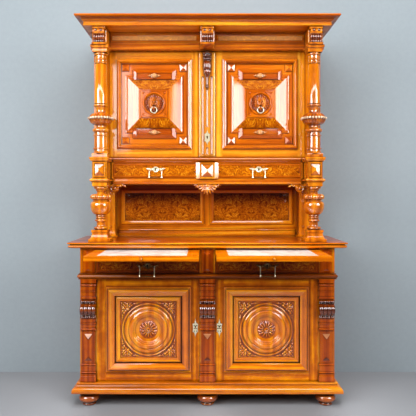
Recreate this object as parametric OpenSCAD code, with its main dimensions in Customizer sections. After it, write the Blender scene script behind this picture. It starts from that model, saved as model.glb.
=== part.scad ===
// A buffet cabinet in two stages: a lower cupboard with a worktop, and an upper
// cupboard that stands on turned columns, with a niche between them.
// +X right, -Y front, +Z up. The origin is under the middle of its outline at rest.
// Inside the modules y is counted back from the worktop's front edge.

/* [Overall] */
// Width of the worktop
top_w = 1700; // [1600:10:1800]
// Depth of the worktop
top_d = 560; // [540:5:620]
// Thickness of the worktop
top_t = 35; // [32:1:40]
// Height of the bun feet
foot_h = 85; // [75:1:100]
// Height of the plinth
plinth_h = 57; // [52:1:70]
// Height of the lower cupboard from the plinth to the worktop
lower_h = 818; // [790:2:860]
// Height of the niche between worktop and upper cupboard
niche_h = 355; // [340:5:400]
// Height of the case with the upper drawers
waist_h = 176; // [176:2:196]
// Height of the upper doors' opening
upper_h = 680; // [670:5:740]
// Height of the frieze with its corbels
frieze_h = 107; // [100:1:120]
// Height of the cornice's corona
corona_h = 44; // [40:1:56]
// Thickness of the crown board
crown_t = 16; // [14:1:22]

/* [Lower cupboard] */
// Width of the lower cupboard
lower_w = 1560; // [1520:10:1600]
// Setback of its face frame from the worktop's front edge
lower_front = 45; // [40:1:55]
// Width of the pilasters
pilaster_w = 96; // [90:1:98]
// Width of the stile behind the middle pilaster
middle_stile = 94; // [80:1:96]
// Height of the rail over the doors, behind the string course
string_h = 34; // [30:1:40]
// Height of the drawers' openings
drawer_h = 114; // [105:1:125]
// How far the shelves stand pulled out
pull_out = 350; // [200:10:380]
// Thickness of the pull-out shelves
tray_t = 28; // [24:1:30]
// Width of the marble inlay
marble_w = 499; // [440:5:520]

/* [Upper cupboard] */
// Width of the upper cupboard
upper_w = 1456; // [1440:4:1500]
// Setback of the waist's face from the worktop's front edge
waist_front = 200; // [190:2:210]
// Setback of the upper doors behind the waist's face
door_setback = 10; // [6:1:16]
// Depth left behind the upper cupboard's back
back_step = 20; // [0:2:30]
// Distance of the columns' axes from the middle
column_x = 662; // [655:1:670]
// Setback of the columns' axes from the worktop's front edge
column_y = 92; // [88:1:96]
// Width of the square blocks between the columns
block_w = 90; // [84:1:92]
// Width of the rear pilasters
rear_pilaster_w = 89; // [80:1:100]

/* [Boards] */
// Thickness of the carcass boards
board = 18; // [16:1:20]
// Thickness of the sides
side_t = 25; // [20:1:26]
// Thickness of the face frames
frame_t = 25; // [22:1:28]
// Thickness of the door frames
door_t = 25; // [23:1:28]
// Thickness of the back boards
back_t = 12; // [8:1:16]

/* [Clearances] */
// Gap around doors and drawer fronts
gap = 1.5; // [1.2:0.1:2.5]
// Gap under what slides
slip = 0.3; // [0.2:0.1:0.5]
// Radial clearance of a pin in its hole
fit = 0.05; // [0.02:0.01:0.1]

/* [Pivots and handles] */
// Radius of the door pivots' pins
pivot_r = 3; // [2.5:0.1:4]
// Distance of the pivots from the door's edge
pivot_in = 27; // [24:1:34]
// Distance of the pivots behind the door's face
pivot_back = 8; // [7:1:12]
// Radius of the bail handles' rod
bail_r = 3.4; // [3:0.1:4.5]
// Outer radius of the rings in the masks
ring_r = 22; // [18:1:24]

/* [Hidden] */
$fn = 48;
walnut = "#b3691f";
dark_walnut = "#8f4e16";
burl = "#a8661c";
brass = "#c9a860";
marble_white = "#f2ede6";

// Heights of the storeys
z_case = foot_h + plinth_h;
z_under_top = z_case + lower_h;
z_top = z_under_top + top_t;
z_waist = z_top + niche_h;
z_upper = z_waist + waist_h;
z_frieze = z_upper + upper_h;
z_corona = z_frieze + frieze_h;
z_crown = z_corona + corona_h;
z_end = z_crown + crown_t;

// Depths, counted back from the worktop's front edge
upper_front = waist_front + door_setback;
upper_back = top_d - back_step;
niche_front = upper_back - 40;
case_back = top_d - 4;
knob_l = 22;
tray_front = lower_front - pull_out;
middle_y = (top_d + tray_front - knob_l) / 2;

// Half widths
top_x = top_w / 2;
case_x = lower_w / 2;
upper_x = upper_w / 2;
inner_x = case_x - side_t;
mid_x = middle_stile / 2;
pilaster_x = case_x - 5 - pilaster_w / 2;
jamb_x = pilaster_x - pilaster_w / 2;
block_in = column_x - block_w / 2;

// Lower openings, from the top down: shelf, dust board, drawer, string rail, door
tray_z = z_under_top - 11.5 - tray_t;
drawer_top = tray_z - slip;
drawer_z = drawer_top - gap - drawer_h;
string_z = drawer_z - gap - string_h;
lower_door_z = z_case + gap;
lower_door_h = string_z - gap - lower_door_z;
lower_door_in = mid_x + gap;
lower_door_w = jamb_x - gap - lower_door_in;
side_stile_x = jamb_x + 7;
tray_w = side_stile_x - gap - lower_door_in;

// Upper openings
sill_t = 18;
upper_door_z = z_upper + gap;
upper_door_h = upper_h - 2 * gap;
upper_jamb_x = upper_x - 99;
meeting_x = 53;
waist_drawer_z = z_waist + 40;
waist_drawer_h = waist_h - 77;
waist_jamb_x = block_in - 5;

function curve(a, b, x_first, n = 4) = [for (i = [0:n]) let (t = 90 * i / n) x_first
    ? [a.x + (b.x - a.x) * sin(t), a.y + (b.y - a.y) * (1 - cos(t))]
    : [a.x + (b.x - a.x) * (1 - cos(t)), a.y + (b.y - a.y) * sin(t)]];
function bead(x, z0, z1, n = 6) = let (r = (z1 - z0) / 2)
    [for (i = [0:n]) let (t = 180 * i / n - 90) [x - r + r * cos(t), (z0 + z1) / 2 + r * sin(t)]];
function shifted(points, dx, dz) = [for (p = points) [p.x + dx, p.y + dz]];
function xs(points) = [for (p = points) p.x];
function ys(points) = [for (p = points) p.y];
function circle_points(r, cx, cy, from, to, n) =
    [for (i = [0:n]) let (t = from + (to - from) * i / n) [cx + r * cos(t), cy + r * sin(t)]];

function clean(points) = [for (i = [0:len(points) - 1])
    if (norm(points[i] - points[(i + 1) % len(points)]) > 0.001) points[i]];

// Turns what is drawn back from the worktop's edge into the cabinet's own frame
module placed() translate([0, -middle_y, 0]) children();

// A box between two corners
module box(a, b) translate(a) cube(b - a);

// The same thing on both sides
module both() {
    children();
    mirror([1, 0, 0]) children();
}

// Lays a drawing on an upright face: its own +Z comes out of the face, to the front
module on_face(x, y, z) translate([x, y, z]) rotate([90, 0, 0]) children();

// A moulding round the front and two sides, mitred at the corners.
// Its outline is [distance out from the face, height].
module three_sides(outline, half, y0, y1) {
    out = max(xs(outline)) + 1;
    in = 1 - min(xs(outline));
    low = min(ys(outline)) - 1;
    tall = max(ys(outline)) + 1 - low;
    intersection() {
        translate([-half - out, y0, 0]) rotate([90, 0, 90]) linear_extrude(2 * (half + out))
            polygon([for (p = clean(outline)) [-p.x, p.y]]);
        translate([0, 0, low]) linear_extrude(tall)
            polygon([[-half - out, y0 - out], [half + out, y0 - out],
                     [half - in, y0 + in], [in - half, y0 + in]]);
    }
    both() intersection() {
        translate([half, y1, 0]) rotate([90, 0, 0]) linear_extrude(y1 - y0 + out) polygon(clean(outline));
        translate([0, 0, low]) linear_extrude(tall)
            polygon([[half - in, y0 + in], [half + out, y0 - out], [half + out, y1 + 1],
                [half - in, y1 + 1]]);
    }
}

// A mitred frame of moulding, flat on the ground: outline is [distance in from the edge, height]
module four_sides(outline, w, h) {
    wide = max(xs(outline)) + 1;
    low = min(ys(outline)) - 1;
    tall = max(ys(outline)) + 1 - low;
    for (a = [0:90:270]) {
        span = (a % 180 == 0 ? w : h) / 2;
        half = (a % 180 == 0 ? h : w) / 2;
        rotate(a) intersection() {
            translate([-span, -half, 0]) rotate([90, 0, 90]) linear_extrude(2 * span) polygon(clean(outline));
            translate([0, 0, low]) linear_extrude(tall)
                polygon([[-span - 1, -half - 1], [span + 1, -half - 1],
                         [span - wide, -half + wide], [wide - span, -half + wide]]);
        }
    }
}

// A square post whose sides follow an outline of [half width, height]
module squared(outline) {
    wide = 2 * max(xs(outline)) + 2;
    both_sides = clean(concat(outline, [for (i = [len(outline) - 1:-1:0]) [-outline[i].x, outline[i].y]]));
    intersection() {
        rotate([90, 0, 0]) linear_extrude(wide, center = true) polygon(both_sides);
        rotate([90, 0, 90]) linear_extrude(wide, center = true) polygon(both_sides);
    }
}

// A turned piece; the outline is [radius, height] and is closed along the axis
module turned(outline) rotate_extrude()
    polygon(clean(concat([[0, outline[0].y]], outline, [[0, outline[len(outline) - 1].y]])));

// A block with four sloping sides, from w by h at the ground to tw by th at height z
module pyramid(w, h, tw, th, z) polyhedron(
    [for (s = [[w, h, 0], [tw, th, z]], c = [[-1, -1], [1, -1], [1, 1], [-1, 1]])
        [s.x * c.x / 2, s.y * c.y / 2, s.z]],
    [[0, 1, 2, 3], [7, 6, 5, 4], [0, 4, 5, 1], [1, 5, 6, 2], [2, 6, 7, 3], [3, 7, 4, 0]]);

// A turned piece carved into lobes. Each point is [radius, height, depth of the grooves].
module lobed(outline, lobes, steps = 4) {
    around = lobes * steps;
    rings = len(outline);
    function spot(p, k) = let (a = 360 * k / around, r = p.x - p.z * (1 - abs(sin(lobes * a / 2))))
        [r * cos(a), r * sin(a), p.y];
    points = concat([for (p = outline, k = [0:around - 1]) spot(p, k)],
        [[0, 0, outline[0].y], [0, 0, outline[rings - 1].y]]);
    sides = [for (i = [0:rings - 2], k = [0:around - 1], half = [0, 1])
        let (a = i * around + k, b = i * around + (k + 1) % around)
        half == 0 ? [a, a + around, b] : [b, a + around, b + around]];
    ends = [for (k = [0:around - 1], half = [0, 1]) let (n = (k + 1) % around, t = (rings - 1) * around)
        half == 0 ? [k, n, rings * around] : [t + n, t + k, rings * around + 1]];
    polyhedron(points, concat(sides, ends));
}

// A raised panel in a frame, flat on the ground, w by h, with a field that slopes up to its flat
module fielded(w, h, t, slope, rise) {
    translate([-w / 2, -h / 2, 0]) cube([w, h, t]);
    translate([0, 0, t]) pyramid(w - 30, h - 30, w - 30 - 2 * slope, h - 30 - 2 * slope, rise);
}

// Lower cupboard: what stands still

foot_r = 63.5;
foot_y = 60;

module bun_feet() color(dark_walnut) placed()
    for (x = [-pilaster_x, 0, pilaster_x], y = [foot_y, case_back - foot_y])
        translate([x, y, 0]) turned(concat([[36, 0]], bead(39, 2, 16), [[33, 19], [33, 25], [44, 28]],
            bead(foot_r, 30, foot_h - 17),
            [[46, foot_h - 14], [40, foot_h - 7], [48, foot_h - 2], [48, foot_h]]));

plinth_face = lower_front - 20;
plinth_out = 40;
plinth_wall = 42;

module plinth() color(walnut) placed() difference() {
    plinth_frame();
    both() translate([lower_pivot_x, lower_pivot_y, z_case - pivot_hole])
        cylinder(r = pivot_r + fit, h = pivot_hole + 1);
}

module plinth_frame() {
    three_sides(concat([[-plinth_wall, foot_h], [plinth_out, foot_h], [plinth_out, foot_h + 18],
        [plinth_out - 3, foot_h + 20]],
        curve([plinth_out - 3, foot_h + 20], [24, z_case - 24], false),
        curve([24, z_case - 24], [10, z_case - 9], true),
        [[14, z_case - 7], [14, z_case], [-plinth_wall, z_case]]), case_x, plinth_face, case_back);
    box([plinth_wall - case_x, case_back - plinth_wall, foot_h], [case_x - plinth_wall, case_back, z_case]);
    // blocks that the middle and corner feet are screwed to
    for (x = [-pilaster_x, 0, pilaster_x], y = [foot_y, case_back - foot_y])
        box([x - 44, y - 44, foot_h], [x + 44, y + 44, z_case - dust_t]);
}

side_rail = 70;
panel_t = 10;

// One framed side: a frame with a raised panel in its opening, facing outwards
module framed_side(x, y0, y1, z0, z1, t) {
    d = y1 - y0;
    h = z1 - z0;
    translate([x, (y0 + y1) / 2, (z0 + z1) / 2]) rotate([90, 0, 90]) translate([0, 0, -t]) {
        linear_extrude(t) difference() {
            square([d, h], center = true);
            square([d - 2 * side_rail, h - 2 * side_rail], center = true);
        }
        translate([0, 0, 2]) fielded(d - 2 * side_rail, h - 2 * side_rail, panel_t, 28, t - panel_t - 3);
    }
}

module lower_case() color(walnut) placed() {
    both() framed_side(case_x, lower_front + frame_t, case_back, z_case, z_under_top, side_t);
    box([-inner_x, case_back - back_t, z_case], [inner_x, case_back, z_under_top]);
}

divider_t = 24;
inner_front = lower_front + frame_t;
inner_back = case_back - back_t;
dust_t = 18;
guide_h = 8;
drawer_side_gap = 6;

// Boards inside: floor, dust boards, partition, and the guides for drawers and shelves
module lower_dividers() color(dark_walnut) placed() {
    for (z = [drawer_z - gap - dust_t, tray_z - slip - dust_t])
        box([-inner_x, inner_front, z], [inner_x, inner_back, z + dust_t]);
    // the floor lies inside the plinth's frame
    box([plinth_wall - case_x, plinth_face + plinth_wall, z_case - dust_t],
        [case_x - plinth_wall, case_back - plinth_wall, z_case]);
    box([-divider_t / 2, inner_front, z_case], [divider_t / 2, inner_back, tray_z]);
    box([-mid_x, inner_front, tray_z - slip], [mid_x, inner_back, z_under_top]);
    both() {
        box([side_stile_x, inner_front, tray_z - slip], [inner_x, inner_back, z_under_top]);
        box([divider_t / 2, inner_front, drawer_z - gap],
            [lower_door_in + drawer_side_gap - slip, inner_back, drawer_z + guide_h]);
        box([lower_door_in + tray_w - drawer_side_gap + slip, inner_front, drawer_z - gap],
            [inner_x, inner_back, drawer_z + guide_h]);
        // strips that carry the inner shelf
        box([divider_t / 2, inner_front + 30, shelf_z - 20], [divider_t / 2 + 16, inner_back, shelf_z]);
        box([inner_x - 16, inner_front + 30, shelf_z - 20], [inner_x, inner_back, shelf_z]);
    }
}

pivot_reach = 11;
pivot_hole = 13;
lower_pivot_x = lower_door_in + lower_door_w - pivot_in;
lower_pivot_y = lower_front + pivot_back;

module lower_face_frame() color(walnut) placed() difference() {
    union() {
        both() {
            box([side_stile_x, lower_front, z_case], [case_x, inner_front, z_under_top]);
            box([jamb_x, lower_front, z_case], [side_stile_x, inner_front, string_z + string_h]);
        }
        box([-mid_x, lower_front, z_case], [mid_x, inner_front, z_under_top]);
        box([-case_x, lower_front, string_z], [case_x, inner_front, string_z + string_h]);
        box([-case_x, lower_front, tray_z + tray_t + gap], [case_x, inner_front, z_under_top]);
    }
    both() translate([lower_pivot_x, lower_pivot_y, string_z - 1])
        cylinder(r = pivot_r + fit, h = pivot_hole + 1);
}

string_out = 14;
string_face = lower_front - 11;

module string_course() color(walnut) placed() {
    three_sides(concat([[0, string_z], [8, string_z], [8, string_z + 5]],
        bead(string_out, string_z + 6, string_z + string_h - 2),
        [[8, string_z + string_h], [0, string_z + string_h]]), case_x, string_face, case_back);
    box([-case_x, string_face, string_z], [case_x, lower_front, string_z + string_h]);
}

frieze_block_w = 72;
frieze_block_t = 6;

// Blocks with a raised pyramid, over the pilasters
module frieze_blocks()
    for (x = [-pilaster_x, 0, pilaster_x]) {
        h = z_under_top - 12 - (string_z + string_h);
        on_face(x, lower_front, string_z + string_h + h / 2) {
            translate([-frieze_block_w / 2, -h / 2, 0]) cube([frieze_block_w, h, frieze_block_t]);
            translate([0, 0, frieze_block_t])
                pyramid(frieze_block_w - 12, h - 12, 6, h - 60, 14);
        }
    }

shaft_x = pilaster_w / 2 - 8;
shaft_face = lower_front - 12;

// The stack of mouldings from a pilaster's base to its cap, out from the shaft's face
function pilaster_outline(b, t) = concat([[-12, b], [8, b], [8, b + 33]],
    curve([8, b + 33], [3, b + 50], true), [[6, b + 51]], bead(7, b + 52, b + 63), [[3, b + 64], [3, b + 98]],
    bead(6, b + 99, b + 111), [[0, b + 112], [0, t - 318], [3, t - 316]], bead(6, t - 314, t - 298),
    [[2, t - 297], [2, t - 286]], curve([2, t - 286], [8, t - 270], false), [[8, t - 266], [3, t - 265],
    [3, t - 120], [6, t - 118], [6, t - 108], [2, t - 106], [2, t - 77], [5, t - 75], [5, t - 71],
    [3, t - 70], [3, t - 44]], bead(8, t - 43, t - 29), [[4, t - 27], [8, t - 22], [8, t], [-12, t]]);

pilaster_top = string_z;

module pilasters() color(walnut) placed() {
    for (x = [-pilaster_x, 0, pilaster_x]) translate([x, 0, 0]) pilaster();
    frieze_blocks();
}

module pilaster() {
    panel_low = z_case + 122;
    panel_h = pilaster_top - 326 - panel_low;
    difference() {
        three_sides(pilaster_outline(z_case, pilaster_top), shaft_x, shaft_face, lower_front);
        on_face(0, shaft_face, panel_low + panel_h / 2) translate([0, 0, -5])
            linear_extrude(10) square([2 * shaft_x - 20, panel_h], center = true);
    }
    // the sunk panel's field, with its three-cornered facets at top and bottom
    on_face(0, shaft_face, panel_low + panel_h / 2) translate([0, 0, -5]) linear_extrude(4) {
        square([2 * shaft_x - 30, panel_h - 86], center = true);
        translate([0, panel_h / 2 - 3]) polygon([[-29, 0], [29, 0], [0, -36]]);
        translate([0, 3 - panel_h / 2]) polygon([[-29, 0], [29, 0], [0, 26]]);
    }
}

scroll_top = pilaster_top - 126;
scroll_h = 116;

// A scroll in side view: a big head above, a slim foot below. x is out from the wall.
function scroll_outline(d, out, h) = concat([[0, 0], [out * 0.55 - d, 0]],
    curve([out * 0.55 - d, 0], [out - d, -h * 0.26], true, 5),
    curve([out - d, -h * 0.26], [out * 0.5 - d, -h * 0.5], false, 5),
    curve([out * 0.5 - d, -h * 0.5], [out * 0.26 - d, -h * 0.82], true, 4),
    curve([out * 0.26 - d, -h * 0.82], [out * 0.42 - d, -h * 0.9], false, 3),
    curve([out * 0.42 - d, -h * 0.9], [out * 0.2 - d, -h], false, 3), [[0, -h]]);

// A scroll bracket w wide: ribs follow its front, with beads in the hollows between them
module scroll_bracket(w, out, h, ribs, groove) {
    rib = w / (2 * ribs - 1);
    translate([-w / 2, 0, 0]) rotate([90, 0, 90]) linear_extrude(w)
        polygon(clean([for (p = scroll_outline(groove, out, h)) [-max(p.x, 0), p.y]]));
    for (i = [0:ribs - 1]) translate([-w / 2 + 2 * i * rib, 0, 0]) rotate([90, 0, 90]) linear_extrude(rib)
        polygon(clean([for (p = scroll_outline(0, out, h)) [-p.x, p.y]]));
}

module volute_brackets() color(walnut) placed() for (x = [-pilaster_x, 0, pilaster_x])
    translate([x, shaft_face - 3, scroll_top]) scroll_bracket(2 * shaft_x + 4, 34, scroll_h, 4, 3);

worktop_edge = 30;

module worktop() color(walnut) placed() {
    b = z_under_top;
    three_sides(concat([[-20, b], [6, b]], curve([6, b], [12, b + 3], true, 2),
        bead(26, b + 3, b + 20), [[16, b + 21], [16, b + 24], [24, b + 25]],
        curve([24, b + 25], [worktop_edge, z_top - 6], true, 3), [[worktop_edge, z_top - 2],
        [worktop_edge - 2, z_top], [-20, z_top]]), top_x - worktop_edge, worktop_edge, top_d);
    box([worktop_edge - top_x, worktop_edge, b], [top_x - worktop_edge, top_d, z_top]);
}

shelf_rise = 310;
shelf_setback = 35;
shelf_z = z_case + shelf_rise;

module inner_shelves() color(dark_walnut) placed() {
    both() box([divider_t / 2 + slip, inner_front + shelf_setback, shelf_z],
        [inner_x - slip, inner_back - slip, shelf_z + board]);
    for (n = [1, 2]) {
        z = z_upper + n * upper_shelf_step;
        box([board_in - upper_x + slip, upper_shelf_front, z - board / 2],
            [upper_x - board_in - slip, upper_back - back_t - slip, z + board / 2]);
    }
}

// Upper cupboard: columns and niche

pedestal_h = 75;
belly_drop = 117;
column_plinth_z = z_upper - 10;

module lower_columns() color(walnut) placed() both() translate([column_x, column_y, 0]) {
    z0 = z_top + pedestal_h;
    z1 = z_waist - 15;
    belly = z1 - belly_drop;
    ring = z1 - 63;
    squared(concat([[66, z_top], [66, z_top + 18], [62, z_top + 20]],
        curve([62, z_top + 20], [46, z_top + 58], true, 5), [[50, z_top + 61], [50, z0]]));
    turned(concat([[38, z0]], bead(44, z0 + 2, z0 + 17), curve([34, z0 + 18], [26, z0 + 28], true, 3),
        [[26, z0 + 47]], bead(36, z0 + 50, z0 + 64), [[29, z0 + 65], [29, z0 + 68]],
        bead(32, z0 + 69, z0 + 79), bead(33, z0 + 80, z0 + 91),
        curve([30, z0 + 92], [64, belly], true, 6), curve([64, belly], [52, z1 - 92], false, 3),
        [[49, z1 - 90], [49, ring - 18]]));
    lobed([for (t = [-60:30:60]) [44 + 21.6 * cos(t), ring + 18 * sin(t) / sin(60), 4 * cos(t)]], 16);
    turned(concat([[30, ring + 18], [25, ring + 22], [25, z1 - 27], [32, z1 - 25], [32, z1 - 15]],
        bead(44, z1 - 14, z1)));
}

bulb_r = 74.6;
capital_h = 42;

module upper_columns() color(walnut) placed() both() translate([column_x, column_y, 0]) {
    z0 = z_upper + 15;
    z1 = z_frieze - capital_h;
    bulb = z0 + 218;
    box([-47.5, -47.5, column_plinth_z], [47.5, 47.5, z0]);
    turned(concat(curve([55, z0], [42, z0 + 22], true), [[42, z0 + 24]], bead(48, z0 + 25, z0 + 35),
        [[41.5, z0 + 36], [41.5, z0 + 106]], bead(47, z0 + 107, z0 + 115), [[40, z0 + 116], [40, z0 + 130]],
        bead(52, z0 + 131, z0 + 156), curve([38, z0 + 157], [31, z0 + 166], true, 3), [[31, z0 + 172]],
        curve([33, z0 + 177], [bulb_r - 3, bulb - 5], true, 6), bead(bulb_r, bulb - 5, bulb)));
    lobed([for (t = [8:13.5:89])
        [30 + (bulb_r - 30) * cos(t), bulb + 40 * sin(t) - 40 * sin(8), 1 + 5 * cos(t)]], 20);
    turned(concat([[30, bulb + 40 * (sin(89) - sin(8))], [29, bulb + 40], [31, bulb + 57], [38, bulb + 69]],
        bead(45, bulb + 71, bulb + 87), [[41.6, bulb + 90], [36.7, z1 - 73]], bead(38.5, z1 - 67, z1 - 54),
        [[35, z1 - 53], [35, z1 - 47]], bead(37.5, z1 - 46, z1 - 38), [[34.5, z1 - 36], [34.5, z1 - 18]],
        bead(43, z1 - 17, z1)));
    squared(concat([[45, z1], [45, z1 + 14]], curve([45, z1 + 14], [52, z1 + 25], false, 3),
        [[55, z1 + 27], [55, z_frieze]]));
}

block_front = column_y - block_w / 2 - 2;
block_low = z_waist - 15;
column_pyramid_t = 12;

// Square blocks between the columns, joined to the drawer case behind them
module column_blocks() color(walnut) placed() both() translate([column_x, 0, 0]) {
    b = block_low;
    t = column_plinth_z;
    three_sides(concat([[-block_w / 3, b], [-5, b], [0, b + 5], [0, b + 27], [4, b + 28],
        [8, b + 32]], bead(13, b + 33, b + 49), [[3, b + 51], [0, b + 53], [0, t - 25]],
        curve([0, t - 25], [13, t - 11], true, 3), [[15.5, t - 9], [15.5, t], [-block_w / 3, t]]),
        block_w / 2, block_front, waist_front);
    box([3 - block_w / 2, block_front + 3, b], [block_w / 2 - 3, waist_front, t]);
    on_face(0, block_front, (b + 53 + t - 25) / 2) pyramid(block_w - 22, 81, 4, 18, column_pyramid_t);
}

rear_pilaster_x = upper_x - 8 - rear_pilaster_w / 2;
rear_pilaster_out = 65;

module rear_pilasters() color(walnut) placed() both() translate([rear_pilaster_x, 0, 0]) {
    y0 = niche_front - rear_pilaster_out;
    three_sides(concat([[-20, z_top], [18, z_top], [18, z_top + 8]],
        curve([18, z_top + 8], [0, z_top + 50], true, 5), [[0, z_waist - 34], [4, z_waist - 33],
        [4, z_waist - 27], [0, z_waist - 26], [0, z_waist], [-20, z_waist]]),
        rear_pilaster_w / 2, y0, niche_front);
    box([1 - rear_pilaster_w / 2, y0 + 1, z_top], [rear_pilaster_w / 2 - 1, niche_front, z_waist]);
    for (x = [-18, 18], z = [z_top + 70, z_waist - 52]) translate([x, y0, z]) sphere(7);
}

niche_panel_x = 597;
niche_panel_in = 21;
niche_panel_z = z_top + 84;
niche_panel_h = niche_h - 113;
niche_panel_w = niche_panel_x - niche_panel_in;
niche_t = 20;
niche_moulding = [[0, 0], [0, 5], [3, 8], [10, 8], [13, 5], [22, 2], [26, 2], [26, -6], [22, -6], [22, 0]];

module niche_back() color(walnut) placed() {
    difference() {
        box([-rear_pilaster_x - rear_pilaster_w / 2, niche_front, z_top],
            [rear_pilaster_x + rear_pilaster_w / 2, niche_front + niche_t, z_waist]);
        both() box([niche_panel_in + 22, niche_front - 1, niche_panel_z + 22],
            [niche_panel_x - 22, niche_front + niche_t + 1, niche_panel_z + niche_panel_h - 22]);
    }
    both() on_face((niche_panel_in + niche_panel_x) / 2, niche_front, niche_panel_z + niche_panel_h / 2)
        four_sides(niche_moulding, niche_panel_w, niche_panel_h);
    // base moulding between the rear pilasters' feet
    x = rear_pilaster_x - rear_pilaster_w / 2 - 18;
    translate([-x, niche_front, 0]) rotate([90, 0, 90]) linear_extrude(2 * x)
        polygon(clean([for (p = concat([[0, z_top], [25, z_top], [25, z_top + 12]],
            curve([25, z_top + 12], [6, z_top + 38], true), bead(9, z_top + 40, z_top + 50),
            [[0, z_top + 50]]))
            [-p.x, p.y]]));
}

module burl_panels() color(burl) placed() {
    niche_panels();
    frieze_panels();
}

module niche_panels() both()
    on_face((niche_panel_in + niche_panel_x) / 2, niche_front + niche_t, niche_panel_z + niche_panel_h / 2)
        translate([22 - niche_panel_w / 2, 22 - niche_panel_h / 2, 0])
            cube([niche_panel_w - 44, niche_panel_h - 44, niche_t - 6]);

// Upper cupboard: cases and entablature

upper_side_t = 22;
board_in = upper_side_t;
waist_frame_t = 22;
waist_in = waist_front + waist_frame_t;
upper_in = upper_front + frame_t;
case_end = upper_back - back_t;
sill_z = z_upper - sill_t;
waist_drawer_in = 49 + gap;
waist_drawer_w = waist_jamb_x - gap - waist_drawer_in;

// Boards round the two upper drawers
module drawer_case() color(dark_walnut) placed() {
    box([-upper_x, waist_in, z_waist], [upper_x, case_end, z_waist + sill_t]);
    box([-upper_x, waist_in, sill_z], [upper_x, case_end, z_upper]);
    box([-divider_t / 2, waist_in, z_waist + sill_t], [divider_t / 2, case_end, sill_z]);
    both() {
        box([upper_x - upper_side_t, waist_in, z_waist + sill_t], [upper_x, case_end, sill_z]);
        // runners and side guides for a drawer
        box([divider_t / 2, waist_in, z_waist + sill_t],
            [waist_drawer_in + drawer_side_gap - slip, case_end, waist_drawer_z - slip + guide_h]);
        box([waist_drawer_in + waist_drawer_w - drawer_side_gap + slip, waist_in, z_waist + sill_t],
            [upper_x - upper_side_t, case_end, waist_drawer_z - slip + guide_h]);
        box([waist_drawer_in, waist_in, z_waist + sill_t],
            [waist_drawer_in + 26, case_end, waist_drawer_z - slip]);
        box([waist_drawer_in + waist_drawer_w - 26, waist_in, z_waist + sill_t],
            [waist_drawer_in + waist_drawer_w, case_end, waist_drawer_z - slip]);
    }
}

centre_block_w = 96;
centre_block_t = 14;
moulding_x = block_in - 16;

// The drawers' front frame, with the mouldings below and above it
module drawer_frame() color(walnut) placed() difference() {
    union() {
        difference() {
            box([-upper_x, waist_front, z_waist], [upper_x, waist_in, z_upper]);
            both() box([waist_drawer_in - gap, waist_front - 1, waist_drawer_z - gap],
                [waist_jamb_x, waist_in + 1, waist_drawer_z + waist_drawer_h + gap]);
        }
        low = concat([[0, z_waist], [12, z_waist]], bead(14, z_waist + 2, z_waist + 14), [[6, z_waist + 16]],
            curve([6, z_waist + 16], [0, z_waist + 34], true), [[0, z_waist + 34]]);
        high = concat([[0, z_upper - 36]], curve([3, z_upper - 36], [14, z_upper - 22], false),
            [[14, z_upper - 19]], bead(20, z_upper - 18, z_upper - 6),
            [[16, z_upper - 4], [16, z_upper], [0, z_upper]]);
        for (m = [low, high]) {
            translate([-moulding_x, waist_front, 0]) rotate([90, 0, 90]) linear_extrude(2 * moulding_x)
                polygon(clean([for (p = m) [-p.x, p.y]]));
            both() translate([upper_x, upper_back, 0]) rotate([90, 0, 0])
                linear_extrude(upper_back - waist_front) polygon(clean(m));
        }
        h = waist_h - 74;
        on_face(0, waist_front, waist_drawer_z + waist_drawer_h / 2) {
            translate([-centre_block_w / 2, -h / 2, 0]) cube([centre_block_w, h, centre_block_t]);
            translate([0, 0, centre_block_t]) pyramid(72, 78, 6, 12, 12);
        }
    }
    both() translate([upper_pivot_x, upper_pivot_y, z_upper - pivot_hole])
        cylinder(r = pivot_r + fit, h = pivot_hole + 1);
}

shell_r = 62;
shell_t = 13;
apron_scroll_r = 22;

module carved_apron() color(walnut) placed() {
    // the shell: a half round with fluted rays
    on_face(0, waist_front, z_waist) difference() {
        linear_extrude(shell_t) intersection() {
            union() {
                circle(shell_r - 6);
                for (a = [190:20:350]) rotate(a) translate([shell_r - 9, 0]) circle(9);
            }
            translate([-shell_r - 9, -38]) square([2 * shell_r + 18, 38]);
        }
        for (a = [200:20:340]) rotate(a) translate([14, 0, shell_t]) rotate([0, 90, 0])
            cylinder(r = 4, h = shell_r);
    }
    // scrolls in the niche's upper corners
    both() on_face(block_in - apron_scroll_r, waist_front, z_waist - apron_scroll_r) {
        difference() {
            linear_extrude(shell_t) union() {
                circle(apron_scroll_r);
                polygon([[-46, apron_scroll_r], [apron_scroll_r, apron_scroll_r], [apron_scroll_r, 0],
                    [-apron_scroll_r, 0]]);
            }
            translate([0, 0, shell_t - 4]) rotate_extrude() translate([13, 0]) square([3, 5]);
        }
        translate([0, 0, shell_t]) sphere(6);
    }
}

module upper_case() color(dark_walnut) placed() {
    upper_stiles();
    both() framed_side(upper_x, upper_front + frame_t, case_end, z_upper, z_frieze, upper_side_t);
    box([-upper_x, case_end, z_waist], [upper_x, upper_back, z_frieze]);
    box([frieze_t - upper_x, case_end, z_frieze], [upper_x - frieze_t, upper_back, z_corona]);
    // top board, under the frieze, with the holes for the pins
    difference() {
        box([frieze_t - upper_x, frieze_face + frieze_t, z_frieze],
            [upper_x - frieze_t, case_end, z_frieze + sill_t]);
        both() translate([upper_pivot_x, upper_pivot_y, z_frieze - 1])
            cylinder(r = pivot_r + fit, h = pivot_hole + 1);
    }
}

module upper_stiles() both()
    box([upper_jamb_x, upper_front, z_upper], [upper_x, upper_in, z_frieze]);

board_gap = 26;
upper_shelf_front = upper_in + board_gap;
upper_shelf_step = upper_h / 3;

frieze_face = waist_front - 35;
frieze_t = 20;
architrave_h = 27;
frieze_end_x = upper_x;

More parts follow.
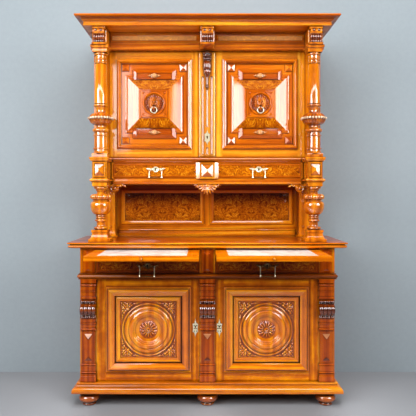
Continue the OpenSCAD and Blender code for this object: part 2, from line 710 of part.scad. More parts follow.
// The frieze box: architrave, burl fields in frames, fillets and bed mould
module frieze() color(walnut) placed() {
    z = z_frieze;
    three_sides(concat([[-frieze_t, z], [10, z], [10, z + architrave_h - 4]],
        curve([10, z + architrave_h - 4], [2, z + architrave_h + 5], false, 3),
        [[2, z + architrave_h + 15], [0, z + architrave_h + 17], [0, z_corona - 14]],
        curve([0, z_corona - 14], [9, z_corona - 4], false), [[9, z_corona], [-frieze_t, z_corona]]),
        frieze_end_x, frieze_face, upper_back);
    for (s = [-1, 1]) on_face(s * (corbel_x + 9) / 2, frieze_face, z + 73)
        four_sides([[0, 0], [0, 4], [5, 4], [7, 2], [9, 0]], corbel_x - 131 + 9 * 2, 46);
}

module frieze_panels() both()
    on_face((corbel_x + 9) / 2, frieze_face, z_frieze + 73)
        translate([-(corbel_x - 131) / 2, -14, 0]) cube([corbel_x - 131, 28, 2]);

corbel_x = column_x + 2;
corbel_w = 78;
corbel_front = 20;

module corbels() color(walnut) placed() for (x = [-corbel_x, 0, corbel_x])
    translate([x, 0, 0]) {
        h = frieze_h - 14;
        out = frieze_face - 10 - corbel_front;
        // the block behind the scroll, broken forward from the frieze
        box([-corbel_w / 2 - 5, corbel_front + 34, z_frieze + 4],
            [corbel_w / 2 + 5, frieze_face - 10, z_corona]);
        translate([0, corbel_front + 34, z_corona - 10]) scroll_bracket(corbel_w, 34, h, 4, 3);
        box([-corbel_w / 2 - 3, corbel_front - 4, z_corona - 10],
            [corbel_w / 2 + 3, corbel_front + 34, z_corona]);
        box([-corbel_w / 2 - 5, corbel_front + 24, z_frieze],
            [corbel_w / 2 + 5, frieze_face - 10, z_frieze + 4]);
        for (s = [-12, 12]) translate([s, corbel_front + 2, z_corona - 24]) sphere(7);
    }

corona_x = 753;
corona_front = 7;
crown_out = 47;
corona_wall = 30;
soffit_t = 8;

module cornice() color(walnut) placed() {
    z = z_corona;
    three_sides(concat([[-corona_wall, z], [-3, z]], curve([-3, z], [0, z + 3], true, 2), [[0, z + 24]],
        curve([2, z + 26], [10, z + 33], true, 3), [[12, z + 34], [12, z_crown - 4]],
        curve([14, z_crown - 4], [22, z_crown], true, 2), [[-corona_wall, z_crown]]),
        corona_x, corona_front, upper_back);
    box([corona_wall - corona_x, corona_front + corona_wall, z],
        [corona_x - corona_wall, upper_back, z + soffit_t]);
    three_sides(concat([[-60, z_crown]], bead(crown_out, z_crown, z_end, 4), [[-60, z_end]]),
        corona_x, corona_front, upper_back);
    box([59 - corona_x, corona_front + 59, z_crown], [corona_x - 59, upper_back, z_end]);
}

// Doors

upper_pivot_x = upper_jamb_x - gap - pivot_in;
upper_pivot_y = upper_front + pivot_back;
plate_l = 34;
plate_w = 12;
plate_t = 2;
panel_back = 6;
door_panel_t = 10;
bolection_in = 18;
bolection = concat([[0, 0], [0, 7], [2, 8]], curve([2, 8], [9, 18], false, 3), [[11, 20], [15, 20]],
    curve([15, 18], [25, 5], true, 3), [[26, 3], [29, 3], [29, -panel_back], [bolection_in, -panel_back],
    [bolection_in, 0]]);

// A door's frame, with recesses in its edges for the pivots' plates
module door_frame(x0, x1, y, z0, h, opening_x, opening_z, opening_w, opening_h, pin_x, pin_y) difference() {
    box([x0, y, z0], [x1, y + door_t, z0 + h]);
    box([opening_x - opening_w / 2, y - 1, opening_z - opening_h / 2],
        [opening_x + opening_w / 2, y + door_t + 1, opening_z + opening_h / 2]);
    for (z = [z0, z0 + h - plate_t])
        box([pin_x - plate_l / 2, pin_y - plate_w / 2, z == z0 ? z - 1 : z],
            [pin_x + plate_l / 2, pin_y + plate_w / 2, z + plate_t + (z == z0 ? 0 : 1)]);
}

// The two pivots of a door: plates let into its edges, with a pin on each
module pivots(x, y, z0, h) {
    for (z = [z0, z0 + h - plate_t])
        box([x - plate_l / 2, y - plate_w / 2, z], [x + plate_l / 2, y + plate_w / 2, z + plate_t]);
    translate([x, y, z0 - pivot_reach]) cylinder(r = pivot_r, h = pivot_reach);
    translate([x, y, z0 + h]) cylinder(r = pivot_r, h = pivot_reach);
}

// A keyhole plate with pointed ends, w by h, lying on the ground
module keyhole_plate(w, h, t = 2) linear_extrude(t) difference() {
    union() {
        polygon(clean(concat(curve([0, h / 2], [w / 2, h / 5], false), [[w * 0.38, 0]],
            curve([w / 2, -h / 5], [0, -h / 2], true), curve([0, -h / 2], [-w / 2, -h / 5], false),
            [[-w * 0.38, 0]], curve([-w / 2, h / 5], [0, h / 2], true))));
        circle(w * 0.44);
    }
    translate([0, 3]) circle(3);
    translate([-1.2, -8]) square([2.4, 10]);
}

upper_door_w = upper_jamb_x - gap - meeting_x - 1;
upper_moulding_w = 482;
upper_moulding_h = 577;
upper_panel_x = 340;
upper_panel_z = upper_door_z + upper_door_h / 2 + 2;

module upper_frame(s) {
    inner = s > 0 ? meeting_x + 1 : meeting_x - 1;
    outer = s * (meeting_x + 1 + upper_door_w);
    door_frame(min(inner, outer), max(inner, outer), upper_front, upper_door_z, upper_door_h,
        s * upper_panel_x, upper_panel_z, upper_moulding_w - 2 * bolection_in,
        upper_moulding_h - 2 * bolection_in, s * upper_pivot_x, upper_pivot_y);
}

field_w = 371;
bar_w = 279;
bar_h = 64;
bar_z = 189;
corner_x = 185;
corner_z = 234;
block_square = 172;
block_v = 24;
rim_v = 31;
roundel_r = 74;

// The raised panel: pyramid field, centre block with its roundel's rim, bars and corner pyramids
module upper_panel(s) on_face(s * upper_panel_x, upper_front, upper_panel_z) translate([0, 0, -panel_back]) {
    w = upper_moulding_w - 2 * bolection_in;
    h = upper_moulding_h - 2 * bolection_in;
    v = panel_back;
    difference() {
        union() {
            translate([-w / 2, -h / 2, -door_panel_t]) cube([w, h, door_panel_t]);
            pyramid(field_w, field_w, field_w - 8, field_w - 8, 7);
            translate([0, 0, 7])
                pyramid(field_w - 30, field_w - 30, block_square + 14, block_square + 14, 15);
            translate([-block_square / 2, -block_square / 2, 0])
                cube([block_square, block_square, v + block_v]);
            for (m = [-1, 1]) translate([0, m * bar_z, 0]) difference() {
                pyramid(bar_w, bar_h, bar_w - 16, bar_h - 8, 14);
                translate([18 - bar_w / 2, m > 0 ? -bar_h / 2 - 1 : 14 - bar_h / 2, 8])
                    cube([bar_w - 36, bar_h - 13, 8]);
            }
            for (m = [-1, 1]) translate([0, m * (bar_z - 7), 8]) {
                turned(concat([[19, 0], [19, 3]], curve([15, 3], [1, 9], false, 5)));
                for (n = [-1, 1]) translate([n * 26, 0, 0]) pyramid(14, 18, 1, 6, 4);
            }
            for (m = [-1, 1], n = [-1, 1]) {
                translate([n * corner_x, m * corner_z, 0]) pyramid(44, 44, 2, 2, 14);
                translate([n * 68, m * 68, v + block_v - 3]) sphere(8);
            }
            translate([0, 0, v + block_v]) rotate_extrude() translate([roundel_r - 8, 0])
                polygon(clean([for (p = bead(8, 0, 2 * (rim_v - block_v), 6)) [p.y - 7, p.x - 1]]));
        }
        translate([0, 0, v + block_v - 6]) cylinder(r = roundel_r - 16, h = 20);
    }
}

mask_v = block_v - 6;
mouth_z = -24;
mouth_v = 37;
ring_rod = 2.8;
ring_hole = 4.3;

// A mask: mane, brow, muzzle and ears, with a bored jaw that holds the ring
module mask(s) on_face(s * upper_panel_x, upper_front, upper_panel_z) difference() {
    union() {
        translate([0, 0, mask_v]) lobed([[50, 0, 5], [52, 5, 7], [44, 11, 6], [31, 14, 3], [20, 14, 0]], 14);
        intersection() {
            translate([-40, -40, mask_v + 13]) cube([80, 80, 60]);
            union() {
                translate([0, 2, mask_v + 6]) sphere(25);
                translate([0, -7, mask_v + 20]) sphere(12);
                for (n = [-1, 1]) {
                    translate([n * 10, 12, mask_v + 20]) sphere(9);
                    translate([n * 25, 22, mask_v + 10]) sphere(9);
                }
            }
        }
        translate([-6, mouth_z - 7, mask_v + 13]) cube([12, 20, mouth_v + 6 - mask_v - 13]);
    }
    translate([0, mouth_z, mouth_v]) rotate([0, 90, 0]) cylinder(r = ring_hole, h = 60, center = true);
}

module ring(s) on_face(s * upper_panel_x, upper_front, upper_panel_z)
    translate([0, mouth_z - ring_r + ring_rod, mouth_v])
        rotate_extrude() translate([ring_r - ring_rod, 0]) circle(ring_rod, $fn = 24);

lower_moulding = 520;
lower_panel_x = 361;
lower_panel_z = lower_door_z + lower_door_h / 2 + 4;

module lower_frame(s) {
    inner = s * lower_door_in;
    outer = s * (lower_door_in + lower_door_w);
    door_frame(min(inner, outer), max(inner, outer), lower_front, lower_door_z, lower_door_h,
        s * lower_panel_x, lower_panel_z, lower_moulding - 2 * bolection_in,
        lower_moulding - 2 * bolection_in, s * lower_pivot_x, lower_pivot_y);
}

lower_bolection = concat([[0, 0], [0, 6], [2, 7]], curve([2, 7], [7, 3], true, 2), [[14, 3], [15, 18]],
    curve([15, 18], [20, 23], false, 3), [[24, 23], [50, 12]], curve([50, 12], [54, 7], true, 2),
    [[54, -panel_back], [bolection_in, -panel_back], [bolection_in, 0]]);

lower_field = 408;
carved_square = 340;
big_roundel_r = 162;
rosette_r = 54;

function leaf(l, w) = clean(concat(curve([0, 0], [w / 2, l * 0.45], true, 3),
    curve([w / 2, l * 0.45], [0, l], false, 3), curve([0, l], [-w / 2, l * 0.45], true, 3),
    curve([-w / 2, l * 0.45], [0, 0], false, 3)));

// The lower panel: framed field, carved corners, turned roundel with its rosette
module lower_panel(s) on_face(s * lower_panel_x, lower_front, lower_panel_z) translate([0, 0, -panel_back]) {
    w = lower_moulding - 2 * bolection_in;
    translate([-w / 2, -w / 2, -door_panel_t]) cube([w, w, door_panel_t]);
    pyramid(lower_field, lower_field, lower_field - 10, lower_field - 10, 6);
    translate([0, 0, 6]) four_sides([[7, -1], [7, 3], [10, 5], [13, 3], [22, 2], [34, 1], [34, -1]],
        lower_field, lower_field);
    for (a = [45:90:315]) rotate(a) {
        translate([big_roundel_r + 5, 0, 5]) rotate(-90) linear_extrude(8) polygon(leaf(38, 22));
        for (m = [-1, 1]) translate([big_roundel_r + 52, m * 7, 5]) rotate(90 - m * 38)
            linear_extrude(6.6) polygon(leaf(62, 20));
    }
    translate([0, 0, 6]) turned(concat([[big_roundel_r, -1], [big_roundel_r, 5], [big_roundel_r - 4, 7],
        [big_roundel_r - 8, 7], [big_roundel_r - 9, 4], [big_roundel_r - 12, 4]],
        curve([big_roundel_r - 12, 4], [big_roundel_r - 20, 15], false, 3),
        curve([big_roundel_r - 20, 15], [big_roundel_r - 30, 7], true, 3), [[big_roundel_r - 33, 7],
        [big_roundel_r - 33, 11]], curve([big_roundel_r - 33, 11], [big_roundel_r - 52, 19], false, 4),
        [[big_roundel_r - 55, 16]], curve([big_roundel_r - 55, 16], [big_roundel_r - 63, 21], false, 3),
        curve([big_roundel_r - 63, 21], [big_roundel_r - 71, 16], true, 3), [[big_roundel_r - 73, 12]],
        curve([big_roundel_r - 73, 12], [rosette_r + 6, 4], true, 4), [[rosette_r + 4, 3]]));
    translate([0, 0, 9]) lobed([[rosette_r, -1, 4], [rosette_r + 1, 4, 6], [rosette_r - 9, 9, 5],
        [rosette_r - 26, 8, 3], [15, 5, 1]], 16);
    translate([0, 0, 14]) turned(concat([[12, -3], [12, 3]], curve([11, 4], [1, 11], false, 5)));
}

lock_w = 46;
lock_h = 74;
lock_t = 11;
lock_plate = 34;

// Pivots, lock and keyhole plate of a lower door
module lower_fittings(s) {
    pivots(s * lower_pivot_x, lower_pivot_y, lower_door_z, lower_door_h);
    x = s * (lower_door_in + 25);
    on_face(x, lower_front, lower_panel_z + 10) keyhole_plate(lock_plate, 119);
    box([x - lock_w / 2, lower_front + door_t, lower_panel_z - lock_h / 2],
        [x + lock_w / 2, lower_front + door_t + lock_t, lower_panel_z + lock_h / 2]);
}

strip_x = 51.5;
strip_t = 12;
strip_z = z_upper + 16;
strip_top = z_frieze - 8;
drop_top = z_frieze - 12;
drop_l = 225;

// The fluted strip over the doors' meeting, with a turned drop; it rides on the left door
module meeting_strip() color(walnut) placed() {
    difference() {
        box([-strip_x, upper_front - strip_t, strip_z - 14], [strip_x, upper_front, strip_top]);
        for (x = [-27, 27]) flute(x, strip_z, strip_z + 500);
        flute(0, strip_z, strip_z + 46);
        flute(0, strip_z + 175, strip_z + 420);
    }
    intersection() {
        translate([0, upper_front - strip_t, 0]) turned(concat([[3, drop_top - drop_l]],
            bead(9, drop_top - drop_l, drop_top - drop_l + 18), [[5, drop_top - drop_l + 20]],
            curve([5, drop_top - drop_l + 22], [17, drop_top - 130], false, 4),
            [[20, drop_top - 120], [20, drop_top - 114], [13, drop_top - 110]],
            curve([13, drop_top - 108], [19, drop_top - 84], true, 4),
            [[22, drop_top - 60], [16, drop_top - 48]], bead(22, drop_top - 46, drop_top - 34),
            [[14, drop_top - 30]], bead(25, drop_top - 26, drop_top)));
        box([-30, upper_front - strip_t - 30, drop_top - drop_l - 1],
            [30, upper_front - strip_t, drop_top + 1]);
    }
}

flute_r = 7;

// A flute with round ends, cut into the strip's face
module flute(x, z0, z1) translate([x, upper_front - strip_t - 2, 0]) {
    translate([0, 0, z0 + flute_r]) cylinder(r = flute_r, h = z1 - z0 - 2 * flute_r);
    for (z = [z0 + flute_r, z1 - flute_r]) translate([0, 0, z]) sphere(flute_r);
}

module upper_fittings(s) {
    pivots(s * upper_pivot_x, upper_pivot_y, upper_door_z, upper_door_h);
    if (s < 0) {
        z = strip_z + 110;
        on_face(0, upper_front - strip_t, z) keyhole_plate(38, 109);
        box([-lock_w / 2, upper_front + door_t, z - lock_h / 2],
            [lock_w / 2, upper_front + door_t + lock_t, z + lock_h / 2]);
    }
}

// Drawers, handles and pull-out shelves

front_t = 20;
drawer_wall = 11;
drawer_bottom_t = 8;
frame_moulding = [[0, 0], [0, 3], [3, 6], [8, 6], [12, 3], [17, 3], [19, 0]];

// A drawer: its front with a mitred moulding and a burl field, and the box behind it
module drawer(s, x0, w, z0, low, h, y, depth) {
    x1 = x0 + w;
    box([min(s * x0, s * x1), y, z0], [max(s * x0, s * x1), y + front_t, z0 + h]);
    on_face(s * (x0 + x1) / 2, y, z0 + h / 2) {
        four_sides(frame_moulding, w - 16, h - 14);
        translate([-w / 2 + 40, -h / 2 + 34, 0]) cube([w - 80, h - 68, 1.5]);
    }
    out = x0 + drawer_side_gap;
    far = x1 - drawer_side_gap;
    translate([0, 0, low]) {
        tall = h - 24;
        difference() {
            box([min(s * out, s * far), y + front_t, 0], [max(s * out, s * far), y + depth, tall]);
            box([min(s * (out + drawer_wall), s * (far - drawer_wall)), y + front_t, drawer_bottom_t],
                [max(s * (out + drawer_wall), s * (far - drawer_wall)), y + depth - drawer_wall, tall + 1]);
        }
    }
}

upper_drawer_depth = case_end - waist_front - 8;
lower_drawer_depth = inner_back - lower_front - 12;

module upper_drawer(s) drawer(s, waist_drawer_in, waist_drawer_w, waist_drawer_z, waist_drawer_z,
    waist_drawer_h, waist_front, upper_drawer_depth);
module lower_drawer(s) drawer(s, lower_door_in, tray_w, drawer_z, drawer_z - gap + slip,
    drawer_h, lower_front, lower_drawer_depth);

// [plate's width, distance between the posts, drop of the bail, length of the posts]
upper_handle = [121, 69, 51, 16];
lower_handle = [143, 79, 60, 34];
upper_handle_x = waist_drawer_in + waist_drawer_w / 2;
lower_handle_x = lower_door_in + tray_w / 2;
upper_handle_z = waist_drawer_z + waist_drawer_h / 2 + 8;
lower_handle_z = drawer_z + drawer_h / 2 - 12;
post_r = 7;
bail_pin_r = 2.4;
bail_side = 1;
handle_t = 2.5;

// A handle's plate with its two bored posts
module handle_plate(size) {
    linear_extrude(handle_t) difference() {
        union() {
            circle(17);
            for (m = [-1, 1]) {
                translate([m * size[1] / 2, 0]) circle(12);
                translate([m * (size[0] / 2 - 7), 0]) circle(7);
            }
            square([size[0] - 16, 9], center = true);
        }
        translate([0, 4]) circle(3);
        translate([-1.2, -8]) square([2.4, 11]);
    }
    for (m = [-1, 1]) translate([m * size[1] / 2, 0, 0]) difference() {
        union() {
            translate([0, 0, handle_t]) cylinder(r = 5, h = size[3] - handle_t);
            translate([0, 0, size[3]]) sphere(post_r);
        }
        translate([0, 0, size[3]]) rotate([0, 90, 0])
            cylinder(r = bail_pin_r + fit, h = 3 * post_r, center = true);
    }
}

// A ball on a bar that runs across
module knuckle(r) rotate([0, 90, 0]) sphere(r);

// A bail hanging straight down from the posts
module bail(size) translate([0, 0, size[3]]) {
    arm = size[1] / 2 + post_r + bail_side + bail_r;
    for (m = [-1, 1]) {
        translate([m * (arm + size[1] / 2 - post_r) / 2, 0, 0]) rotate([0, 90, 0])
            cylinder(r = bail_pin_r, h = arm - size[1] / 2 + post_r, center = true);
        translate([m * arm, -size[2], 0]) rotate([-90, 0, 0]) cylinder(r = bail_r, h = size[2]);
        for (y = [0, -size[2]]) translate([m * arm, y, 0]) knuckle(bail_r + 1.2);
        translate([m * 10, -size[2], 0]) knuckle(bail_r + 1.4);
    }
    translate([0, -size[2], 0]) rotate([0, 90, 0]) cylinder(r = bail_r, h = 2 * arm, center = true);
    translate([0, -size[2], 0]) knuckle(bail_r + 2.6);
}

tray_l = 490;
marble_t = 8;
marble_in = 33;
marble_l = 330;
tray_x = lower_door_in + tray_w / 2;

module pull_out(s) {
    x0 = tray_x - tray_w / 2;
    x1 = tray_x + tray_w / 2;
    m0 = tray_x - marble_w / 2;
    m1 = tray_x + marble_w / 2;
    difference() {
        box([min(s * x0, s * x1), tray_front, tray_z],
            [max(s * x0, s * x1), tray_front + tray_l, tray_z + tray_t]);
        box([min(s * m0, s * m1), tray_front + marble_in, tray_z + tray_t - marble_t],
            [max(s * m0, s * m1), tray_front + marble_in + marble_l, tray_z + tray_t + 1]);
    }
    on_face(s * tray_x, tray_front, tray_z + tray_t / 2)
        turned(concat([[7, 0], [7, 2], [3.5, 4], [3.5, 9]], curve([3.5, 9], [7, 14], true, 3),
            curve([7, 15], [1, knob_l], false, 4)));
}

module marble(s) {
    m0 = tray_x - marble_w / 2;
    m1 = tray_x + marble_w / 2;
    box([min(s * m0, s * m1), tray_front + marble_in, tray_z + tray_t - marble_t],
        [max(s * m0, s * m1), tray_front + marble_in + marble_l, tray_z + tray_t]);
}

module upper_door_left() color(walnut) placed() upper_frame(-1);
module upper_door_right() color(walnut) placed() upper_frame(1);
module upper_moulding(s) on_face(s * upper_panel_x, upper_front, upper_panel_z)
    four_sides(bolection, upper_moulding_w, upper_moulding_h);
module upper_moulding_left() color(walnut) placed() upper_moulding(-1);
module upper_moulding_right() color(walnut) placed() upper_moulding(1);
module upper_panel_left() color(burl) placed() upper_panel(-1);
module upper_panel_right() color(burl) placed() upper_panel(1);
module mask_left() color(dark_walnut) placed() mask(-1);
module mask_right() color(dark_walnut) placed() mask(1);
module ring_left() color(brass) placed() ring(-1);
module ring_right() color(brass) placed() ring(1);
module upper_fittings_left() color(brass) placed() upper_fittings(-1);
module upper_fittings_right() color(brass) placed() upper_fittings(1);
module lower_door_left() color(walnut) placed() lower_frame(-1);
module lower_door_right() color(walnut) placed() lower_frame(1);
module lower_moulding_at(s) on_face(s * lower_panel_x, lower_front, lower_panel_z)
    four_sides(lower_bolection, lower_moulding, lower_moulding);
module lower_moulding_left() color(walnut) placed() lower_moulding_at(-1);
module lower_moulding_right() color(walnut) placed() lower_moulding_at(1);
module lower_panel_left() color(walnut) placed() lower_panel(-1);
module lower_panel_right() color(walnut) placed() lower_panel(1);
module lower_fittings_left() color(brass) placed() lower_fittings(-1);
module lower_fittings_right() color(brass) placed() lower_fittings(1);
module upper_drawer_left() color(walnut) placed() upper_drawer(-1);
module upper_drawer_right() color(walnut) placed() upper_drawer(1);
module lower_drawer_left() color(walnut) placed() lower_drawer(-1);
module lower_drawer_right() color(walnut) placed() lower_drawer(1);
module upper_plate(s)
    on_face(s * upper_handle_x, waist_front - 1.5, upper_handle_z) handle_plate(upper_handle);
module upper_bail(s) on_face(s * upper_handle_x, waist_front - 1.5, upper_handle_z) bail(upper_handle);
module lower_plate(s)
    on_face(s * lower_handle_x, lower_front - 1.5, lower_handle_z) handle_plate(lower_handle);
module lower_bail(s) on_face(s * lower_handle_x, lower_front - 1.5, lower_handle_z) bail(lower_handle);
module upper_handle_left() color(brass) placed() upper_plate(-1);
module upper_handle_right() color(brass) placed() upper_plate(1);
module lower_handle_left() color(brass) placed() lower_plate(-1);
module lower_handle_right() color(brass) placed() lower_plate(1);
module upper_bail_left() color(brass) placed() upper_bail(-1);
module upper_bail_right() color(brass) placed() upper_bail(1);
module lower_bail_left() color(brass) placed() lower_bail(-1);
module lower_bail_right() color(brass) placed() lower_bail(1);
module pull_out_left() color(walnut) placed() pull_out(-1);
module pull_out_right() color(walnut) placed() pull_out(1);
module marble_left() color(marble_white) placed() marble(-1);
module marble_right() color(marble_white) placed() marble(1);

bun_feet();
plinth();
lower_case();
lower_dividers();
lower_face_frame();
string_course();
pilasters();
volute_brackets();
worktop();
inner_shelves();
lower_columns();
upper_columns();
column_blocks();
rear_pilasters();
niche_back();
burl_panels();
drawer_case();
drawer_frame();
carved_apron();
upper_case();
frieze();
corbels();
cornice();
upper_door_left();
upper_moulding_left();
upper_panel_left();
mask_left();
ring_left();
upper_fittings_left();
meeting_strip();
upper_door_right();
upper_moulding_right();
upper_panel_right();
mask_right();
ring_right();
upper_fittings_right();
lower_door_left();
lower_moulding_left();
lower_panel_left();
lower_fittings_left();
lower_door_right();
lower_moulding_right();
lower_panel_right();
lower_fittings_right();
upper_drawer_left();
upper_handle_left();
upper_bail_left();
upper_drawer_right();
upper_handle_right();
upper_bail_right();
lower_drawer_left();
lower_handle_left();
lower_bail_left();
lower_drawer_right();
lower_handle_right();
lower_bail_right();
pull_out_left();
marble_left();
pull_out_right();
marble_right();
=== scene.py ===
# %% [markdown]
# # A carved buffet cabinet
# This notebook dresses a two-stage buffet cabinet: a lower cupboard with two doors, two drawers and
# two pull-out shelves, and an upper cupboard that stands on turned columns.
# The packed solids come first. They give every place and size, and they are never moved. Most of
# them keep their own shape and only get a finish. Turned and carved pieces are made again, finer.

# %% Load the packed solids
import math

import bpy
import bmesh
from mathutils import Matrix, Vector


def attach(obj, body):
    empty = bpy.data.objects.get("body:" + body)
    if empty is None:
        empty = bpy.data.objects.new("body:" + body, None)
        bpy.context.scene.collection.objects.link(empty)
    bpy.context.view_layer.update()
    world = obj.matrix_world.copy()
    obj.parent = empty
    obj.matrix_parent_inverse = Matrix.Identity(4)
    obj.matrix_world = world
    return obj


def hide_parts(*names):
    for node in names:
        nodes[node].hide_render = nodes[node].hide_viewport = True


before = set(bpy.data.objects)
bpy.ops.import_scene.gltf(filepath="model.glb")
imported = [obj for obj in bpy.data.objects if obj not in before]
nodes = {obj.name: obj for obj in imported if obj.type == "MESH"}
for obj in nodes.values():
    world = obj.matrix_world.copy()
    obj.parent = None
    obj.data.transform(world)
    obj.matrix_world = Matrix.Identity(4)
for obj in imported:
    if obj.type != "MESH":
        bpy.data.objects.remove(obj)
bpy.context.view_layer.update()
MM = 0.001
SIDES = {"left": -1, "right": 1}
# The drawings count depth from the worktop's front edge, which lies this far in front of the middle
EDGE_Y = -116.5

# %% [markdown]
# ## Camera
# The cabinet was photographed square on, with a level camera. A level camera keeps upright lines
# upright, and a small lens shift moves the picture without tilting them. The focal length follows
# from how much smaller the far parts look than the near ones.

# %% Set up the camera


def into_scene(name, data):
    """An object for a camera, a lamp or a mesh."""
    made = bpy.data.objects.new(name, data)
    bpy.context.scene.collection.objects.link(made)
    return made


lens_mm, camera_x, camera_distance, camera_height = 47.2, -0.0206, 3.4165, 1.296
camera_data = bpy.data.cameras.new("camera")
camera_data.lens = lens_mm
camera_data.sensor_width = 36.0
camera_data.shift_x, camera_data.shift_y = 0.0096, -0.036
camera = into_scene("camera", camera_data)
camera.location = (camera_x, -camera_distance, camera_height)
camera.rotation_euler = (math.pi / 2, 0, 0)
bpy.context.scene.camera = camera
print("a lens of", lens_mm, "mm", camera_height, "m above the floor")

# %% [markdown]
# ## Light
# French polish shows its lamps as white patches on whatever slopes towards them. On this cabinet the
# patches look like window panes, so two rows of panes stand at the front left and front right, where
# the bevels of the door panels catch them. Blender can set apart what the polish mirrors and what
# lights the dull wood, so a broad lamp above lights the front without a patch in the polish.

# %% Write the soft lamp


def soft_lamp(name, place, aim, size, watts, spread=180, mirrored=True, lights=True):
    """A lamp that looks at a point. mirrored shows it in the polish, lights lets it brighten dull wood."""
    data = bpy.data.lights.new(name, "AREA")
    data.shape = "RECTANGLE"
    data.size, data.size_y = size
    data.energy = watts
    data.spread = math.radians(spread)
    lamp = into_scene(name, data)
    lamp.location = place
    lamp.rotation_euler = (Vector(aim) - Vector(place)).to_track_quat("-Z", "Y").to_euler()
    lamp.visible_glossy, lamp.visible_diffuse = mirrored, lights


# %% Hang the window panes
window_y = -2.8
PANES = [  # nearest and furthest x, sill, head, watts
    (-0.65, -0.9, 2.04, 2.6, 5), (-0.9, -1.85, 1.8, 2.8, 12),
    (-1.85, -2.5, 1.5, 3.6, 46), (-2.5, -3.9, 1.5, 3.6, 50),
    (0.71, 0.9, 2.04, 2.6, 2.4), (1.85, 2.5, 1.5, 3.6, 42), (2.5, 3.9, 1.5, 3.6, 38)]
for i, (near, far, sill, head, watts) in enumerate(PANES):
    middle = (near + far) / 2
    soft_lamp("pane_%d" % i, (middle, window_y, (sill + head) / 2), (middle * 0.4, 0.1, 1.5),
              (abs(far - near), head - sill), watts)
print(len(PANES), "panes of", sum(pane[-1] for pane in PANES), "watts in all")

# %% [markdown]
# Two gleams show in the polish alone. A thin strip under the ceiling puts a line of light on the
# mouldings, a narrow lamp falls on the marble of the pulled shelves, and one lamp stands behind.

# %% Hang the other lamps
for side, s in SIDES.items():
    soft_lamp("gleam_" + side, (3.2 * s, -2.79, 2.55), (1.3 * s, 0.1, 1.5), (1.4, 2.0), 95, lights=False)
soft_lamp("high_lamp", (0, -2.6, 4.1), (0, 0.1, 1.2), (3.4, 1.2), 105, mirrored=False)
soft_lamp("ceiling_strip", (0, -3.1, 3.52), (0, 0.1, 1.3), (3.4, 0.3), 26)
soft_lamp("shelf_lamp", (0, -0.5, 4.3), (0, -0.42, 0), (1.9, 0.3), 8, 30, mirrored=False)
soft_lamp("back_lamp", (0.6, 3.6, 2.6), (0, 0.4, 1.2), (3.0, 2.0), 26, 120, mirrored=False)
print(len(bpy.data.lights), "lamps and panes in all")

# %% Fill the shadows with a little warm world light
fill_strength = 0.05
world = bpy.data.worlds.new("room")
world.use_nodes = True
background = world.node_tree.nodes["Background"].inputs
background["Color"].default_value = (1.0, 0.9, 0.75, 1)
background["Strength"].default_value = fill_strength
bpy.context.scene.world = world
bpy.context.scene.view_settings.view_transform = "Standard"
print("a fill of", fill_strength)

# %% [markdown]
# ## Writing a material as sums
# A material is a graph of nodes, and a graph is tedious to type. A small class wraps a node's
# socket, so that `1 - mask * 0.5` adds the Math nodes for it. Everything else comes from one
# method that takes a node's type, its settings and what goes into its sockets.

# %% Define the socket class


def maths(operation, swapped=False):
    """A method that adds one Math node, with its values the other way round if swapped."""
    def method(self, *others):
        values = [*others, self] if swapped else [self, *others]
        return self.tree.node("ShaderNodeMath", {"operation": operation}, values)
    return method


class Value:
    """A number that varies over a surface."""

    def __init__(self, tree, socket):
        self.tree, self.socket = tree, socket

    __add__ = __radd__ = maths("ADD")
    __mul__ = __rmul__ = maths("MULTIPLY")
    __sub__, __rsub__ = maths("SUBTRACT"), maths("SUBTRACT", swapped=True)
    __truediv__, __abs__ = maths("DIVIDE"), maths("ABSOLUTE")
    __gt__, __lt__ = maths("GREATER_THAN"), maths("LESS_THAN")
    most, least = maths("MAXIMUM"), maths("MINIMUM")
    sine, cosine = maths("SINE"), maths("COSINE")

    def band(self, low, high):
        """0 below low, 1 above high and smooth between them."""
        return self.tree.node("ShaderNodeMapRange", {"interpolation_type": "SMOOTHSTEP"},
                              {"Value": self, "From Min": low, "From Max": high})


print("a value can", *(name for name in vars(Value) if not name.startswith("_")))

# %% Define the node builder


class Graph:
    """A node tree that is written as sums and calls."""

    def put(self, socket, value):
        if isinstance(value, Value):
            self.tree.links.new(value.socket, socket)
        else:
            socket.default_value = value

    def node(self, kind, settings=None, values=None, output=0):
        """Adds a node, sets it up, feeds its sockets and returns one output."""
        made = self.tree.nodes.new(kind)
        for key, value in (settings or {}).items():
            if key == "stops":
                stops = made.color_ramp.elements
                while len(stops) < len(value):
                    stops.new(1.0)
                for stop, (spot, colour) in zip(stops, value):
                    stop.position, stop.color = spot, colour
            else:
                setattr(made, key, value)
        pairs = enumerate(values) if isinstance(values, (list, tuple)) else (values or {}).items()
        for key, value in pairs:
            self.put(made.inputs[key], value)
        return Value(self, made.outputs[output])

    def point(self, x, y, z):
        return self.node("ShaderNodeCombineXYZ", None, [x, y, z])

    def parts(self, vector):
        return [self.node("ShaderNodeSeparateXYZ", None, [vector], i) for i in range(3)]


print("a graph can", *(name for name in vars(Graph) if not name.startswith("_")))

# %% [markdown]
# ## What every finish needs
# A finish starts from the object's own coordinates, which stay with the piece when it moves. Its
# colours are written from 0 to 255, as a picture program does, and are made linear on the way in.
# Old polish is darker where it gathers in grooves, and ambient occlusion finds those; the same darkening also
# paints the shade that falls in them.

# %% Define the finish class


def paint(red, green, blue):
    """A colour as a picture program writes it, from 0 to 255, for Blender's sockets."""
    def one(c):
        c /= 255
        return c / 12.92 if c <= 0.04045 else ((c + 0.055) / 1.055) ** 2.4
    return one(red), one(green), one(blue), 1.0


